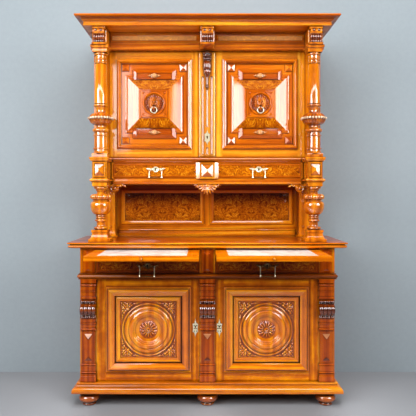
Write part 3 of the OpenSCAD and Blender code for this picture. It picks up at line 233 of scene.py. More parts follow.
class Finish(Graph):
    """A material with a Principled shader and the object's own coordinates."""

    def __init__(self, name):
        self.material = bpy.data.materials.new(name)
        self.material.use_nodes = True
        self.tree = self.material.node_tree
        self.shader = self.tree.nodes["Principled BSDF"]
        self.place = self.node("ShaderNodeTexCoord", output="Object")
        self.x, self.y, self.z = self.parts(self.place)

    def noise(self, spot, scale, detail=2.0, roughness=0.5, distortion=0.0, output=0):
        return self.node("ShaderNodeTexNoise", {"noise_dimensions": "3D"},
                         {"Vector": spot, "Scale": scale, "Detail": detail, "Roughness": roughness,
                          "Distortion": distortion}, output)

    def ramp(self, value, *stops):
        """Colours from 0 to 255 at places from 0 to 1."""
        spots = [(at, paint(*colour)) for at, colour in stops]
        return self.node("ShaderNodeValToRGB", {"stops": spots}, [value])

    def mix(self, amount, first, second, blend="MIX"):
        """Two colours, mixed."""
        made = self.tree.nodes.new("ShaderNodeMix")
        made.data_type, made.blend_type = "RGBA", blend
        for socket, value in zip((made.inputs[0], made.inputs[6], made.inputs[7]), (amount, first, second)):
            self.put(socket, value)
        return Value(self, made.outputs[2])

    def stained(self, colour, red, green, blue, amount=1.0):
        """A colour as it looks through a stain that lets these shares of it through; the same multiply also
        paints shade.
        """
        return self.mix(amount, colour, (red, green, blue, 1.0), "MULTIPLY")

    def open_air(self, reach):
        """1 on an open face and 0 deep in a groove whose walls stand within reach."""
        return self.node("ShaderNodeAmbientOcclusion", {"samples": 6}, {"Distance": reach}, output=1)

    def polish_and_shade_in_grooves(self, colour, open_air, shade, dark=(44, 12, 0)):
        """Dark polish gathers in the grooves, and painted shade darkens them too."""
        return self.mix(((1.0 - open_air) * shade).least(0.96), colour, paint(*dark))

    def grain(self, level):
        """Places along and across the grain, which is upright where level is 0 and level where it is 1."""
        along = self.z + (self.x - self.z) * level
        return along, self.x + self.z - along

    def beside(self, centre):
        """Distance beside the middle of the nearer of a left and right pair, drawn in millimetres."""
        return abs(abs(self.x) - centre * MM)

    def above(self, centre):
        """Distance above or below a middle, drawn in millimetres."""
        return abs(self.z - centre * MM)

    def bump(self, height, depth):
        """Relief of a given depth in metres, on the shader's normal."""
        self.put(self.shader.inputs["Normal"], self.node(
            "ShaderNodeBump", None, {"Strength": 1.0, "Distance": depth, "Height": height}))

    def set(self, **sockets):
        for name, value in sockets.items():
            self.put(self.shader.inputs[name.replace("_", " ").title().replace("Ior", "IOR")], value)

    def polish(self, colour, roughness, coat, ior=1.9, coat_roughness=0.08):
        """French polish: a clear coat over wood that hardly mirrors by itself."""
        self.set(base_color=colour, roughness=roughness, coat_weight=coat, coat_roughness=coat_roughness,
                 coat_ior=ior, specular_ior_level=0.05)


print("white paint is", paint(255, 255, 255))

# %% [markdown]
# ## Polished walnut
# Walnut under French polish is built from three scales: broad tone bands along the board, fine
# streaks beside them, and short dark pores. All three run along the grain, so the coordinates are
# squeezed in that direction before they reach the noise. In a door frame the stiles run upright and
# the rails level, and round a mitred moulding the grain turns at each corner, so a mask chooses
# which way is along.

# %% Make the walnut


def walnut(name, level=0.0, dark=(124, 52, 0), mid=(212, 112, 2), light=(246, 166, 20), roughness=0.3,
           coat=0.6, groove=0.014, stain=None, shade=1.25, mottle=0.16, polish=1.9):
    """Polished wood. level is 0 for upright grain, 1 for level grain, or finds which it is at a place, as
    stain finds where the wood is darker and redder: a real stain on some pieces, painted shade on others."""
    f = Finish(name)
    along, across = f.grain(level(f) if callable(level) else level)
    broad = f.noise(f.point(across, f.y, along * 0.085), 9.0, 3.0, 0.55, 0.6)
    waver = f.noise(f.point(across, f.y, along * 0.085), 5.0)
    rings = (across * 150.0 + waver * 26.0).sine() * 0.5 + 0.5
    fine = f.noise(f.point(across, f.y, along * 0.02), 260.0, 2.0, 0.6)
    pores = f.noise(f.point(across, f.y, along * 0.045), 700.0, 1.0).band(0.62, 0.74)
    cloud = f.noise(f.place, 13.0, 3.0, 0.6, 0.5)
    tone = broad * (0.62 - mottle) + rings * 0.14 + fine * 0.24 + cloud * mottle
    wood = f.ramp(tone, (0.26, dark), (0.5, mid), (0.72, light))
    wood = f.mix(pores * 0.34, wood, paint(58, 24, 6))
    # Darker red where the mask says: painted shade in the niche, on the worktop, at the top of the lower
    # doors, in the masks' and rosettes' hollows and on the pyramids' facets; a real stain elsewhere.
    if stain:
        wood = f.stained(wood, 0.52, 0.27, 0.1, stain(f))
    open_air = f.open_air(groove)
    # Ambient occlusion darkens the grooves: gathered polish, and painted shade.
    f.polish(f.polish_and_shade_in_grooves(wood, open_air, shade), roughness + fine * 0.12 - open_air * 0.04, coat, polish)
    f.bump(fine * 0.6 - pores, 0.00018)
    return f.material


upright = walnut("walnut_upright")
level = walnut("walnut_level", 1.0)
print("walnut:", len(upright.node_tree.nodes), "nodes")

# %% Name the middles of the doors, drawers and panels
# In millimetres: how far beside the cabinet's middle, and how high
lower_door, upper_door, niche_panel = (361, 459.6), (340, 1868), (309, 1202)
lower_drawer, upper_drawer = (363, 861), (330.5, 1439.5)
column_x, pyramid_z = 662, 1439.5
print("the upper doors' middles lie", 2 * upper_door[0], "mm apart")

# %% Find which way the grain runs


def rails_between(centre, half):
    """Level grain between two stiles, for a pair of doors that mirror each other."""
    return lambda f: f.beside(centre) < half * MM


def mitred(centre_x, centre_z, width, height, back=1.0, core=0):
    """Level grain above and below a frame's mitres, upright beside them, behind y = back, and on the board
    in its middle, which is 2 core wide."""
    def turn(f):
        beside, up = f.beside(centre_x), f.above(centre_z)
        return (up - (height - width) / 2 * MM > beside) * (f.y < back) * (up.most(beside) > core * MM)
    return turn


print("the grain turns by", rails_between.__name__, "and by", mitred.__name__)

# %% [markdown]
# ## Burl veneer
# Burl is cut from a knotty outgrowth, so its grain swirls round small dark eyes instead of running
# along the board. Noise that is bent by coarser noise gives the swirls, and a cell pattern the eyes.
# A cabinetmaker opens two leaves of veneer like a book, so each panel mirrors about its middle.

# %% Make the burl


def burl_colour(f, centre):
    """The veneer's colour, mirrored about a panel's middle at |x| = centre in millimetres, and its swirl."""
    spot = f.point(f.beside(centre), f.y, f.z)
    bend = f.noise(spot, 11.0, output=1)
    bent = f.node("ShaderNodeVectorMath", {"operation": "MULTIPLY_ADD"}, [bend, (0.16, 0.16, 0.16), spot])
    swirl = f.noise(bent, 46.0, 5.0, 0.68, 1.4)
    cloud = f.noise(spot, 7.0, 2.0, 0.5, 0.8)
    eyes = f.node("ShaderNodeTexVoronoi", {"feature": "F1"}, {"Vector": bent, "Scale": 96.0})
    colour = f.ramp(swirl * 0.8 + cloud * 0.2, (0.34, (78, 28, 0)), (0.46, (164, 76, 0)),
                    (0.55, (210, 118, 4)), (0.66, (250, 186, 40)))
    return f.mix((1.0 - eyes.band(0.1, 0.3)) * 0.4, colour, paint(96, 44, 8)), swirl


def burl(name, centre):
    """Each niche panel has an oval of lighter veneer edged with a dark line. The frieze's leaf is paler."""
    f = Finish(name)
    colour, swirl = burl_colour(f, centre)
    across, up = f.beside(centre) / 0.262, f.above(niche_panel[1] - 10) / 0.092
    oval = across * across * across + up * up * up
    niche = f.z < 1.5
    colour = f.stained(colour, 0.42, 0.36, 0.3, oval.band(0.94, 1.1) * niche * 0.7)
    # Painted shade: the niche's burl darkens towards its top, under the waist.
    colour = f.stained(colour, 0.24, 0.16, 0.14, f.z.band(1.18, 1.285) * niche)
    colour = f.mix((f.z > 1.5) * 0.45, colour, paint(240, 186, 116))
    f.polish(colour, 0.2 + swirl * 0.1, 0.55, coat_roughness=0.07)
    return f.material


burl_finish = burl("burl_panels", niche_panel[0])
print("burl:", len(burl_finish.node_tree.nodes), "nodes")

# %% [markdown]
# ## Panels of two woods
# The panels of the upper doors carry burl on the facets above and below their middle block, and
# plain wood elsewhere. The drawer fronts are burl within a mitred frame, and only their face is
# polished, so one material changes to raw wood behind it.

# %% Make the upper doors' panels


def door_panel(name, centre_x, centre_z, block=92.5, bar_low=155, bar_high=222):
    """Burl on the facets above and below the middle block, plain wood elsewhere."""
    f = Finish(name)
    x, z = f.beside(centre_x), f.above(centre_z)
    facets = (z > x) * (z > block * MM) * (z < bar_low * MM)
    along, across = f.grain(z > x)
    fine = f.noise(f.point(across, f.y, along * 0.03), 230.0, 3.0, 0.6)
    broad = f.noise(f.point(across, f.y, along * 0.1), 10.0)
    plain = f.ramp(fine * 0.5 + broad * 0.5, (0.3, (132, 50, 0)), (0.5, (196, 92, 2)), (0.72, (230, 136, 14)))
    bars = (z > bar_low * MM) * (z < bar_high * MM) * (x < 141 * MM)
    # Painted shade: the upper and lower facets of the corner pyramids are darker than their side facets; the
    # bars' darker tone is the wood's own.
    corners = (x > 162 * MM) * (z > 211 * MM) * (abs(z - 234 * MM) > abs(x - 185 * MM))
    plain = f.stained(plain, 0.68, 0.54, 0.24, bars + corners)
    # A paler diamond over each bar's stud is a painted highlight.
    painted_stud_highlight = x / 0.044 + abs(z - 0.182) / 0.016 < 1.0
    plain = f.mix(painted_stud_highlight * 0.5, plain, paint(240, 186, 120))
    veneer = f.stained(burl_colour(f, centre_x)[0], 0.8, 0.72, 0.5)
    block_top = (x < 0.1) * (z < 0.1)
    f.polish(f.polish_and_shade_in_grooves(f.mix(facets, plain, veneer), f.open_air(0.012), 1.2), 0.24 + fine * 0.1,
             0.7 - block_top * 0.58 - bars * 0.25, coat_roughness=0.06)
    f.bump(fine * (1.0 - facets), 0.00015)
    return f.material


upper_panel_finish = door_panel("upper_door_panels", *upper_door)
print("door panel:", len(upper_panel_finish.node_tree.nodes), "nodes")

# %% Make the drawer fronts


def drawer_front(name, centre_x, centre_z, width, height, band, front_y, painted_shade=(1, 1, 1)):
    """A burl panel within a mitred frame of straight-grained wood, and a plain box behind it."""
    f = Finish(name)
    x, z = f.beside(centre_x), f.above(centre_z)
    inside = (x < (width / 2 - band) * MM) * (z < (height / 2 - band) * MM)
    along, across = f.grain(z - (height - width) / 2 * MM > x)
    fine = f.noise(f.point(across, f.y, along * 0.03), 230.0, 3.0, 0.6)
    frame_wood = f.ramp(fine, (0.3, (118, 48, 0)), (0.55, (184, 88, 4)), (0.8, (216, 124, 16)))
    veneer, swirl = burl_colour(f, centre_x)
    # The face is multiplied by a painted shade, which darkens the lower drawers.
    face = f.stained(f.mix(inside, frame_wood, veneer), *painted_shade)
    behind = f.y > (front_y + EDGE_Y + 8) * MM
    grain = f.noise(f.point(f.x * 0.1, f.y * 0.1, f.z), 120.0, 3.0)
    raw = f.ramp(grain, (0.3, (168, 122, 74)), (0.7, (204, 164, 112)))
    f.polish(f.polish_and_shade_in_grooves(f.mix(behind, face, raw), f.open_air(0.01), 0.8, (62, 22, 4)),
             0.22 + behind * 0.4 + swirl * 0.06, 0.6 - behind * 0.6)
    return f.material


upper_drawer_finish = drawer_front("upper_drawer_finish", *upper_drawer, 560, 99, 17, 200)
# The lower drawers are darkened with painted shade, as under the pulled shelves.
lower_drawer_finish = drawer_front("lower_drawer_finish", *lower_drawer, 629, 111, 17, 45, (0.5, 0.36, 0.3))
print("drawer front:", len(lower_drawer_finish.node_tree.nodes), "nodes")

# %% [markdown]
# ## Inner wood, brass and marble
# Inside, the boards are planed oak under a thin oil. Cast brass is bright where hands rub it and
# dull where they don't. Marble's grey veins lie where bent noise passes its middle.

# %% Make the inner wood


def raw_wood(name, level=0.0):
    """Inner boards: planed oak under a thin oil, dull."""
    f = Finish(name)
    along, across = f.grain(level)
    grain = f.noise(f.point(across, f.y, along * 0.06), 110.0, 4.0, 0.6)
    broad = f.noise(f.point(across, f.y, along * 0.1), 8.0, 2.0, 0.5, 1.2)
    f.set(base_color=f.ramp(grain * 0.6 + broad * 0.4, (0.3, (104, 62, 28)), (0.7, (156, 104, 56))),
          roughness=0.52 + grain * 0.2)
    f.bump(grain, 0.0004)
    return f.material


inner_level = raw_wood("inner_wood_level", 1.0)
print("inner wood:", len(inner_level.node_tree.nodes), "nodes")

# %% Make the brass
# Keyholes and the holes that pierce the plates: (x, z, radius), alike on both sides
KEYHOLES = [(330.5, 1450, 5), (366.5, 852, 5), (0, 1656, 5.6), (73, 478, 5)]
PIERCED = [(73 + m * 8, 475 + n * 17, 3.4) for m in (-1, 1) for n in (-1.5, -0.5, 0.5, 1.5)]
slot_half, slot_long = 2.6, 14


def brass(name, clean=(250, 236, 196), dull=(150, 122, 70)):
    """Cast and filed brass, bright where hands rub it and dull where they don't, dark in its keyholes."""
    f = Finish(name)
    holes = []
    for x, z, r in KEYHOLES + PIERCED:
        across, up = f.beside(x), f.above(z)
        holes.append(across * across + up * up < (r * MM) ** 2)
    for x, z, r in KEYHOLES:
        holes.append((f.beside(x) < slot_half * MM) * (f.z < z * MM) * (f.z > (z - slot_long) * MM))
    dark = sum(holes).least(1.0)
    worn = f.open_air(0.006) * 0.8 + f.noise(f.place, 60.0, 3.0, 0.6) * 0.4
    metal = f.ramp(worn, (0.45, dull), (0.85, clean))
    f.set(base_color=f.mix(dark, metal, paint(30, 16, 4)), metallic=0.55 - dark * 0.5,
          roughness=0.36 - worn * 0.14)
    f.bump(f.noise(f.place, 420.0), 0.00012)
    return f.material


brass_finish = brass("brass")
# A darker copy of the brass is painted shade, for the lower handles' plates and the bails' bars.
painted_shade_brass = brass("brass_in_shade", (120, 92, 48), (60, 40, 20))
print("brass:", len(brass_finish.node_tree.nodes), "nodes,", len(KEYHOLES + PIERCED), "holes")

# %% Make the marble


def marble(name):
    """White marble: grey veins where bent noise passes its middle."""
    f = Finish(name)
    bend = f.noise(f.place, 5.0, 3.0, 0.6)
    spot = f.point(f.x + bend * 0.22, f.y + bend * 0.1, f.z)
    vein = 1.0 - abs(f.noise(spot, 6.0, 4.0, 0.55) - 0.5).band(0.0, 0.06)
    fine = 1.0 - abs(f.noise(spot, 19.0, 3.0, 0.6) - 0.5).band(0.0, 0.03)
    cloud = f.noise(f.place, 9.0)
    base = f.ramp(cloud, (0.3, (222, 217, 213)), (0.7, (236, 232, 228)))
    f.set(base_color=f.mix(vein * 0.4 + fine * 0.24, base, paint(140, 136, 138)),
          roughness=0.16 + cloud * 0.08, coat_weight=0.25, coat_roughness=0.05)
    return f.material


marble_finish = marble("marble")
print("marble:", len(marble_finish.node_tree.nodes), "nodes")

# %% [markdown]
# ## One cabinet, many walnuts
# No two boards of the cabinet have the same tone, and its polisher stained some of them. Each
# finish below is the same walnut with other tones. Some are darker in places with painted shade: in the
# ground of the carving, on the pyramids' facets, on the masks' low parts, the worktop, the niche and the lower
# doors.

# %% Mix the walnuts of the carved and turned pieces
bright = dict(coat=1.0, roughness=0.2)
reddish = dict(dark=(84, 24, 0), mid=(160, 62, 0), light=(206, 104, 6))
turned_wood = dict(dark=(112, 44, 0), mid=(206, 108, 2), light=(244, 164, 24))
deep = walnut("walnut_turned", **turned_wood)
column_finish = walnut("walnut_columns", coat=1.0, stain=lambda f: (f.z > 1.712) * (f.z < 1.802) * 0.55,
                       **turned_wood)
# The masks' low parts darken by depth: painted shade in the hollows.
mask_finish = walnut("walnut_masks", 0.0, (80, 28, 0), (190, 92, 0), (240, 152, 30), coat=0.7, groove=0.02,
                     shade=1.9, stain=lambda f: f.y.band(0.056, 0.063) * 0.95, polish=1.45)
glossy_dark = walnut("walnut_scrolls", 1.0, (44, 10, 0), (104, 38, 0), (160, 72, 6), **bright)
strip_finish = walnut("walnut_strip", 0.0, (164, 80, 8), (230, 136, 26), (252, 186, 72), groove=0.022,
                      shade=2.0, **bright)
# The walnut pearls are painted pale, a painted highlight.
pearl_painted_highlight = walnut("walnut_pearls", 0.0, (170, 120, 80), (232, 196, 160), (250, 226, 200), coat=1.0,
                      groove=0.008, shade=1.6)
pilaster_finish = walnut("walnut_pilasters", 0.0, groove=0.012, polish=1.45, **reddish, **bright)
foot_finish = walnut("walnut_feet", 1.0, (84, 28, 0), (170, 76, 2), (222, 124, 10), groove=0.03, shade=1.5,
                     **bright)
wedge_painted_light = walnut("walnut_wedges", 1.0, (140, 84, 46), (188, 122, 78), (220, 156, 110))
print(len(bpy.data.materials), "materials so far")

# %% Paint shade on the carved squares and the pyramids


def rosette_painted_shade(f):
    """Painted shade between a rosette's petals and on the ground behind the corner leaves."""
    across, up = f.beside(lower_door[0]), f.above(lower_door[1])
    sunk = (across * across + up * up < 0.056 ** 2) * f.y.band(-0.0835, -0.0795)
    ground = (across < 0.17) * (up < 0.17) * f.y.band(-0.0725, -0.0695)
    return (sunk * 0.8 + ground * 0.75).least(1.0)


def facet_painted_shade(f):
    """Painted shade: the facets above and below each pyramid's point are darker than those beside it."""
    across, up = f.beside(column_x).least(abs(f.x)), f.above(pyramid_z)
    return (up > across + 0.004) * (up < 0.037) * 0.7


lower_panel_finish = walnut("walnut_lower_mouldings", mitred(*lower_door, 520, 520, -0.06, 170),
                            (124, 48, 0), (222, 114, 0), (255, 176, 8), coat=1.0, shade=1.3, polish=1.75,
                            stain=rosette_painted_shade)
pyramid_finish = walnut("walnut_pyramids", mitred(0, pyramid_z, 96, 103), (160, 76, 4), (222, 128, 12),
                        (250, 180, 44), groove=0.01, stain=facet_painted_shade, **bright)
print("stained", lower_panel_finish.name, "and", pyramid_finish.name)

# %% Give every solid its finish


def pair(names):
    """Every name in a list twice, for the left and the right."""
    return " ".join(name + "_" + side for name in names.split() for side in SIDES)


FINISHES = {
    upright: "lower_face_frame rear_pilasters upper_case meeting_strip upper_columns lower_columns",
    walnut("walnut_red_upright", 0.0, polish=1.5, **reddish): "lower_case pilasters",
    walnut("walnut_red_level", 1.0, **reddish): "bun_feet",
    # The string course's dark tones are painted shade, as under the pulled shelves.
    walnut("walnut_string", 1.0, (70, 26, 0), (136, 60, 0), (186, 96, 4), polish=1.6): "string_course",
    # Painted shade: the worktop's top is darker, as under the upper cupboard.
    walnut("walnut_worktop", 1.0, polish=1.6, stain=lambda f: f.z > 0.9935): "worktop",
    level: "plinth carved_apron column_blocks drawer_case",
    walnut("walnut_trays", 1.0, (116, 46, 0), (206, 104, 0), (240, 156, 12)): pair("pull_out"),
    walnut("walnut_rails", 1.0, (110, 44, 0), (190, 92, 2), (226, 140, 14)): "frieze drawer_frame",
    walnut("walnut_cornice", 1.0, stain=lambda f: (f.z > 2.334) * 0.6 + (f.z > 2.358) * (f.z < 2.365) * 0.3):
        "cornice",
    deep: "volute_brackets corbels " + pair("mask"),
    walnut("walnut_upper_frames", rails_between(upper_door[0], 241), (172, 84, 4), (232, 138, 16),
           (255, 192, 52), coat=1.0): pair("upper_door"),
    # Painted shade: the lower doors darken towards their top, under the worktop and the pulled shelves.
    walnut("walnut_lower_frames", rails_between(lower_door[0], 260), (84, 32, 0), (188, 92, 0), (250, 164, 4),
           mottle=0.32, polish=1.45, stain=lambda f: f.z.band(0.56, 0.76) * 0.3): pair("lower_door"),
    walnut("walnut_upper_mouldings", mitred(*upper_door, 482, 577), (118, 44, 0), (210, 106, 0),
           (252, 166, 6)): pair("upper_moulding"),
    lower_panel_finish: pair("lower_moulding lower_panel"),
    # Painted shade: the niche back darkens towards its top under the waist, and its wide occlusion reach adds
    # a dark band there.
    walnut("walnut_niche", mitred(*niche_panel, 576, 242), groove=0.05, stain=lambda f: f.z.band(1.24, 1.33)):
        "niche_back",
    burl_finish: "burl_panels",
    upper_panel_finish: pair("upper_panel"),
    upper_drawer_finish: pair("upper_drawer"),
    lower_drawer_finish: pair("lower_drawer"),
    inner_level: "lower_dividers inner_shelves",
    brass_finish: pair("ring upper_fittings lower_fittings upper_handle lower_handle upper_bail lower_bail"),
    marble_finish: pair("marble"),
}
for material, names in FINISHES.items():
    for name in names.split():
        slots = nodes[name].data.materials
        slots.clear()
        slots.append(material)
print("finished", sum(len(names.split()) for names in FINISHES.values()), "of", len(nodes), "solids")

# %% [markdown]
# ## The room
# The floor and the wall are only a stage. The wall stands close behind the cabinet, where it takes
# a soft shadow, and it is clear from its own back, so the cabinet can be seen from behind. It lets
# the light of the lamp behind it through.

# %% Build the floor and the wall
wall_y, reach, wall_top = 0.534, 9, 6


def stage_plane(name, corners, colour, grit_scale):
    """A large plain face with a faint cloud and a fine grit, which only its front shows."""
    mesh = bpy.data.meshes.new(name)
    mesh.from_pydata(corners, [], [(0, 1, 2, 3)])
    plane = into_scene(name, mesh)
    plane.visible_shadow = False
    f = Finish(name)
    mottle = f.noise(f.place, 1.4, 3.0) * 0.5 + f.noise(f.place, grit_scale, 3.0, 0.7) * 0.5
    darker, lighter = (paint(*(c + step for c in colour)) for step in (-9, 9))
    f.set(base_color=f.mix(mottle, darker, lighter), roughness=0.9, specular_ior_level=0.1)
    backfacing = f.node("ShaderNodeNewGeometry", output="Backfacing")
    clear = f.node("ShaderNodeBsdfTransparent")
    both = f.node("ShaderNodeMixShader", None, [backfacing, Value(f, f.shader.outputs[0]), clear])
    f.tree.links.new(both.socket, f.tree.nodes["Material Output"].inputs["Surface"])
    mesh.materials.append(f.material)


stage_plane("floor", [(-reach, -reach, 0), (reach, -reach, 0), (reach, reach, 0), (-reach, reach, 0)],
            (140, 142, 146), 130.0)
stage_plane("wall", [(-reach, wall_y, 0), (reach, wall_y, 0), (reach, wall_y, wall_top),
                     (-reach, wall_y, wall_top)],
            (152, 162, 168), 30.0)
print("the wall stands", wall_y, "m behind the cabinet's middle")

# %% [markdown]
# ## Outlines
# A turner and a moulding maker both work to an outline: a run of beads, hollows and flats. A few
# small functions draw those in millimetres, as a half outline of distance and height, so every
# turned and moulded piece below can be read as its real outline.

# %% Write the outline helpers


def curve(a, b, x_first, steps=8):
    """A quarter of an ellipse from a to b that leaves along the first axis, or along the second."""
    run = []
    for i in range(steps + 1):
        t = math.pi / 2 * i / steps
        near, far = math.sin(t), 1 - math.cos(t)
        u, v = (near, far) if x_first else (far, near)
        run.append((a[0] + (b[0] - a[0]) * u, a[1] + (b[1] - a[1]) * v))
    return run


def bead(x, low, high, steps=12):
    """A half round that bulges out to x."""
    r = (high - low) / 2
    return [(x - r + r * math.cos(t), (low + high) / 2 + r * math.sin(t))
            for t in (math.pi * i / steps - math.pi / 2 for i in range(steps + 1))]


def lifted(base, outline):
    """An outline drawn from nothing, lifted to the height where it belongs."""
    return [(radius, base + height, *cuts) for radius, height, *cuts in outline]


print("a bead is", len(bead(44, 0, 15)), "points")

# %% [markdown]
# ## From an outline to a piece
# A mesh is drawn in millimetres back from the worktop's edge. Before it becomes a piece its doubles
# are merged and its faces turned outwards. A skin of faces between rings of points makes most of
# what isn't round: a squared plinth, a mitred moulding, a scroll and a carved disc.

# %% Write the mesh helpers


def raw_mesh(points, faces=(), edges=()):
    mesh = bpy.data.meshes.new("scratch")
    mesh.from_pydata(points, edges, faces)
    return mesh


def in_place(mesh, matrix=None, smooth_angle=38):
    """Millimetres back from the worktop's edge become metres in the cabinet's frame, faces turn outwards."""
    shaped = bmesh.new()
    shaped.from_mesh(mesh)
    if matrix:
        shaped.transform(matrix)
    shaped.transform(Matrix.Scale(MM, 4) @ Matrix.Translation((0, EDGE_Y, 0)))
    bmesh.ops.remove_doubles(shaped, verts=shaped.verts, dist=0.00002)
    bmesh.ops.dissolve_degenerate(shaped, edges=shaped.edges, dist=0.00002)
    bmesh.ops.recalc_face_normals(shaped, faces=shaped.faces)
    shaped.to_mesh(mesh)
    shaped.free()
    mesh.polygons.foreach_set("use_smooth", [True] * len(mesh.polygons))
    mesh.set_sharp_from_angle(angle=math.radians(smooth_angle))
    return mesh


def skin(rings, closed=False, smooth_angle=38):
    """Faces between rings of as many points each. The first and last rings are filled, or meet if closed."""
    wide, last = len(rings[0]), len(rings) - 1
    faces = []
    for i in range(last + closed):
        near, far = i * wide, (i + 1) % len(rings) * wide
        faces += [(near + k, near + (k + 1) % wide, far + (k + 1) % wide, far + k) for k in range(wide)]
    if not closed:
        faces += [tuple(range(wide)), tuple(range(last * wide, last * wide + wide))]
    return in_place(raw_mesh([point for ring in rings for point in ring], faces), smooth_angle=smooth_angle)


square = [(-5, -5, 0), (5, -5, 0), (5, 5, 0), (-5, 5, 0)]
box = skin([square, [(x, y, 10) for x, y, z in square]])
print("two rings of four points make", len(box.polygons), "faces")

# %% [markdown]
# Every visual piece rides on a body, has a slot for its material, and says which solids it stands
# for, so that those no longer show. Most pieces are walnut on the cabinet itself.

# %% Put a piece on its body


def piece(name, meshes, finish, stands_for=(), body="cabinet"):
    """Joins finished meshes to one piece and puts it on its body."""
    whole = bmesh.new()
    for part in meshes:
        whole.from_mesh(part)
    mesh = bpy.data.meshes.new(name)
    whole.to_mesh(mesh)
    whole.free()
    mesh.polygons.foreach_set("material_index", [0] * len(mesh.polygons))
    mesh.materials.append(finish)
    made = into_scene(name, mesh)
    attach(made, body)
    if stands_for:
        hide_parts(*stands_for)
    print(name, "has", len(mesh.polygons), "faces")


# %% [markdown]
# ## Growing pieces with Geometry Nodes
# What repeats or follows a rule is grown by a node tree, so its sizes stay inputs with names. The
# class below starts a tree, and `grow` sets the inputs, reads the result as a plain mesh and drops
# the modifier. The cloud of lone points in the start mesh says where the copies stand.

# %% Define the tree class


class Growth(Graph):
    """A Geometry Nodes tree with named inputs."""

    KINDS = {int: "NodeSocketInt", float: "NodeSocketFloat"}

    def __init__(self, name, **sizes):
        self.tree = bpy.data.node_groups.new(name, "GeometryNodeTree")
        sockets = self.tree.interface
        sockets.new_socket("Geometry", in_out="INPUT", socket_type="NodeSocketGeometry")
        for key, value in sizes.items():
            sockets.new_socket(key, in_out="INPUT", socket_type=self.KINDS[type(value)]).default_value = value
        sockets.new_socket("Geometry", in_out="OUTPUT", socket_type="NodeSocketGeometry")
        self.start = self.tree.nodes.new("NodeGroupInput")
        self.end = self.tree.nodes.new("NodeGroupOutput")

    def size(self, name):
        return Value(self, self.start.outputs[name])

    def named(self, name):
        return self.node("GeometryNodeInputNamedAttribute", {"data_type": "FLOAT"}, {"Name": name})

    def store(self, geometry, name, value):
        return self.node("GeometryNodeStoreNamedAttribute", {"domain": "POINT"},
                         {"Geometry": geometry, "Name": name, "Value": value})

    def at(self):
        return self.parts(self.node("GeometryNodeInputPosition"))

    def put_at(self, geometry, spot):
        return self.node("GeometryNodeSetPosition", None, {"Geometry": geometry, "Position": spot})

    def copies(self, points, instance, turn, **more):
        return self.node("GeometryNodeInstanceOnPoints", None,
                         {"Points": points, "Instance": instance, "Rotation": turn, **more})

    def finish_with(self, geometry, material):
        real = self.node("GeometryNodeRealizeInstances", None, [geometry])
        done = self.node("GeometryNodeSetMaterial", None, {"Geometry": real, "Material": material})
        self.tree.links.new(done.socket, self.end.inputs[0])
        print(self.tree.name, "tree:", len(self.tree.nodes), "nodes")
        return self


# %% Run a tree on a start mesh


def mark(mesh, **values):
    """Gives each point of a start mesh a number under each name."""
    for key, numbers in values.items():
        mesh.attributes.new(key, "FLOAT", "POINT").data.foreach_set("value", [float(n) for n in numbers])
    return mesh


def grow(growth, start, **sizes):
    """Runs a tree on a start mesh and returns the plain mesh."""
    scratch = into_scene("scratch", start)
    modifier = scratch.modifiers.new("growth", "NODES")
    modifier.node_group = growth.tree
    for item in growth.tree.interface.items_tree:
        if item.in_out == "INPUT" and item.name in sizes:
            modifier[item.identifier] = sizes[item.name]
    depsgraph = bpy.context.evaluated_depsgraph_get()
    mesh = bpy.data.meshes.new_from_object(scratch.evaluated_get(depsgraph))
    bpy.data.objects.remove(scratch)
    return mesh


print("a tree's inputs can be", *(kind.__name__ for kind in Growth.KINDS))

# %% [markdown]
# ## Turned pieces
# Everything round here came off a lathe: columns, bun feet, knobs and roundels. One tree spins an
# outline round an axis. Where the carver then cut grooves into it, the radius dips between the lobes
# by an amount that each point of the outline carries with it.

# %% Build the lathe tree


def lathe_tree(material):
    g = Growth("lathe", Around=72, Lobes=16)
    rim = g.node("GeometryNodeCurvePrimitiveCircle", None, {"Resolution": g.size("Around"), "Radius": 1.0})
    rim = g.store(rim, "turn", g.node("GeometryNodeInputIndex") / g.size("Around"))
    outline = g.store(g.size("Geometry"), "away", g.at()[0])
    outline = g.store(outline, "height", g.at()[2])
    chain = g.node("GeometryNodeMeshToCurve", None, [outline])
    spun = g.node("GeometryNodeCurveToMesh", None, {"Curve": rim, "Profile Curve": chain})
    angle = g.named("turn") * math.tau
    dip = 1.0 - abs((angle * g.size("Lobes") * 0.5).sine())
    radius = g.named("away") - g.named("groove") * dip
    height = g.named("height") - g.named("dent") * dip
    spun = g.put_at(spun, g.point(radius * angle.cosine(), radius * angle.sine(), height))
    places = g.node("GeometryNodeSeparateGeometry", {"domain": "POINT"},
                    {"Geometry": g.size("Geometry"), "Selection": g.named("place") > 0.5})
    return g.finish_with(g.copies(places, spun, g.point(g.named("tilt"), 0.0, 0.0)), material)


lathe = lathe_tree(deep)

# %% Turn an outline


def start_points(outline, places):
    """An outline of (radius, height, groove, dent) points as one chain, and its copies' places as lone points.
    A groove cuts into the radius between the lobes and a dent into the height. A place is (x, y, z) with a
    tilt in degrees after it: 0 for a piece that stands upright, 90 for one that looks to the front."""
    outline = [(*p, 0.0, 0.0)[:4] for p in outline]
    count, none = len(outline), [0.0] * len(places)
    mesh = raw_mesh([(p[0], 0, p[1]) for p in outline] + [p[:3] for p in places],
                    edges=[(i, i + 1) for i in range(count - 1)])
    return mark(mesh, groove=[p[2] for p in outline] + none, dent=[p[3] for p in outline] + none,
                place=[0.0] * count + [1.0] * len(places),
                tilt=[0.0] * count + [math.radians(p[3]) if len(p) > 3 else 0.0 for p in places])


def turned(outline, places, lobes=16, around=72, matrix=None):
    return in_place(grow(lathe, start_points(outline, places), Around=around, Lobes=lobes), matrix)


start = start_points([(1, 0), (1, 5)], [(0, 0, 0)])
print("a chain of two points and one place make", len(start.vertices), "points")

# %% [markdown]
# The square plinths and capitals follow the same kind of outline, but on four mitred sides.

# %% Write the squared piece
BOTH = (-1, 1)
CORNERS = ((-1, -1), (1, -1), (1, 1), (-1, 1))


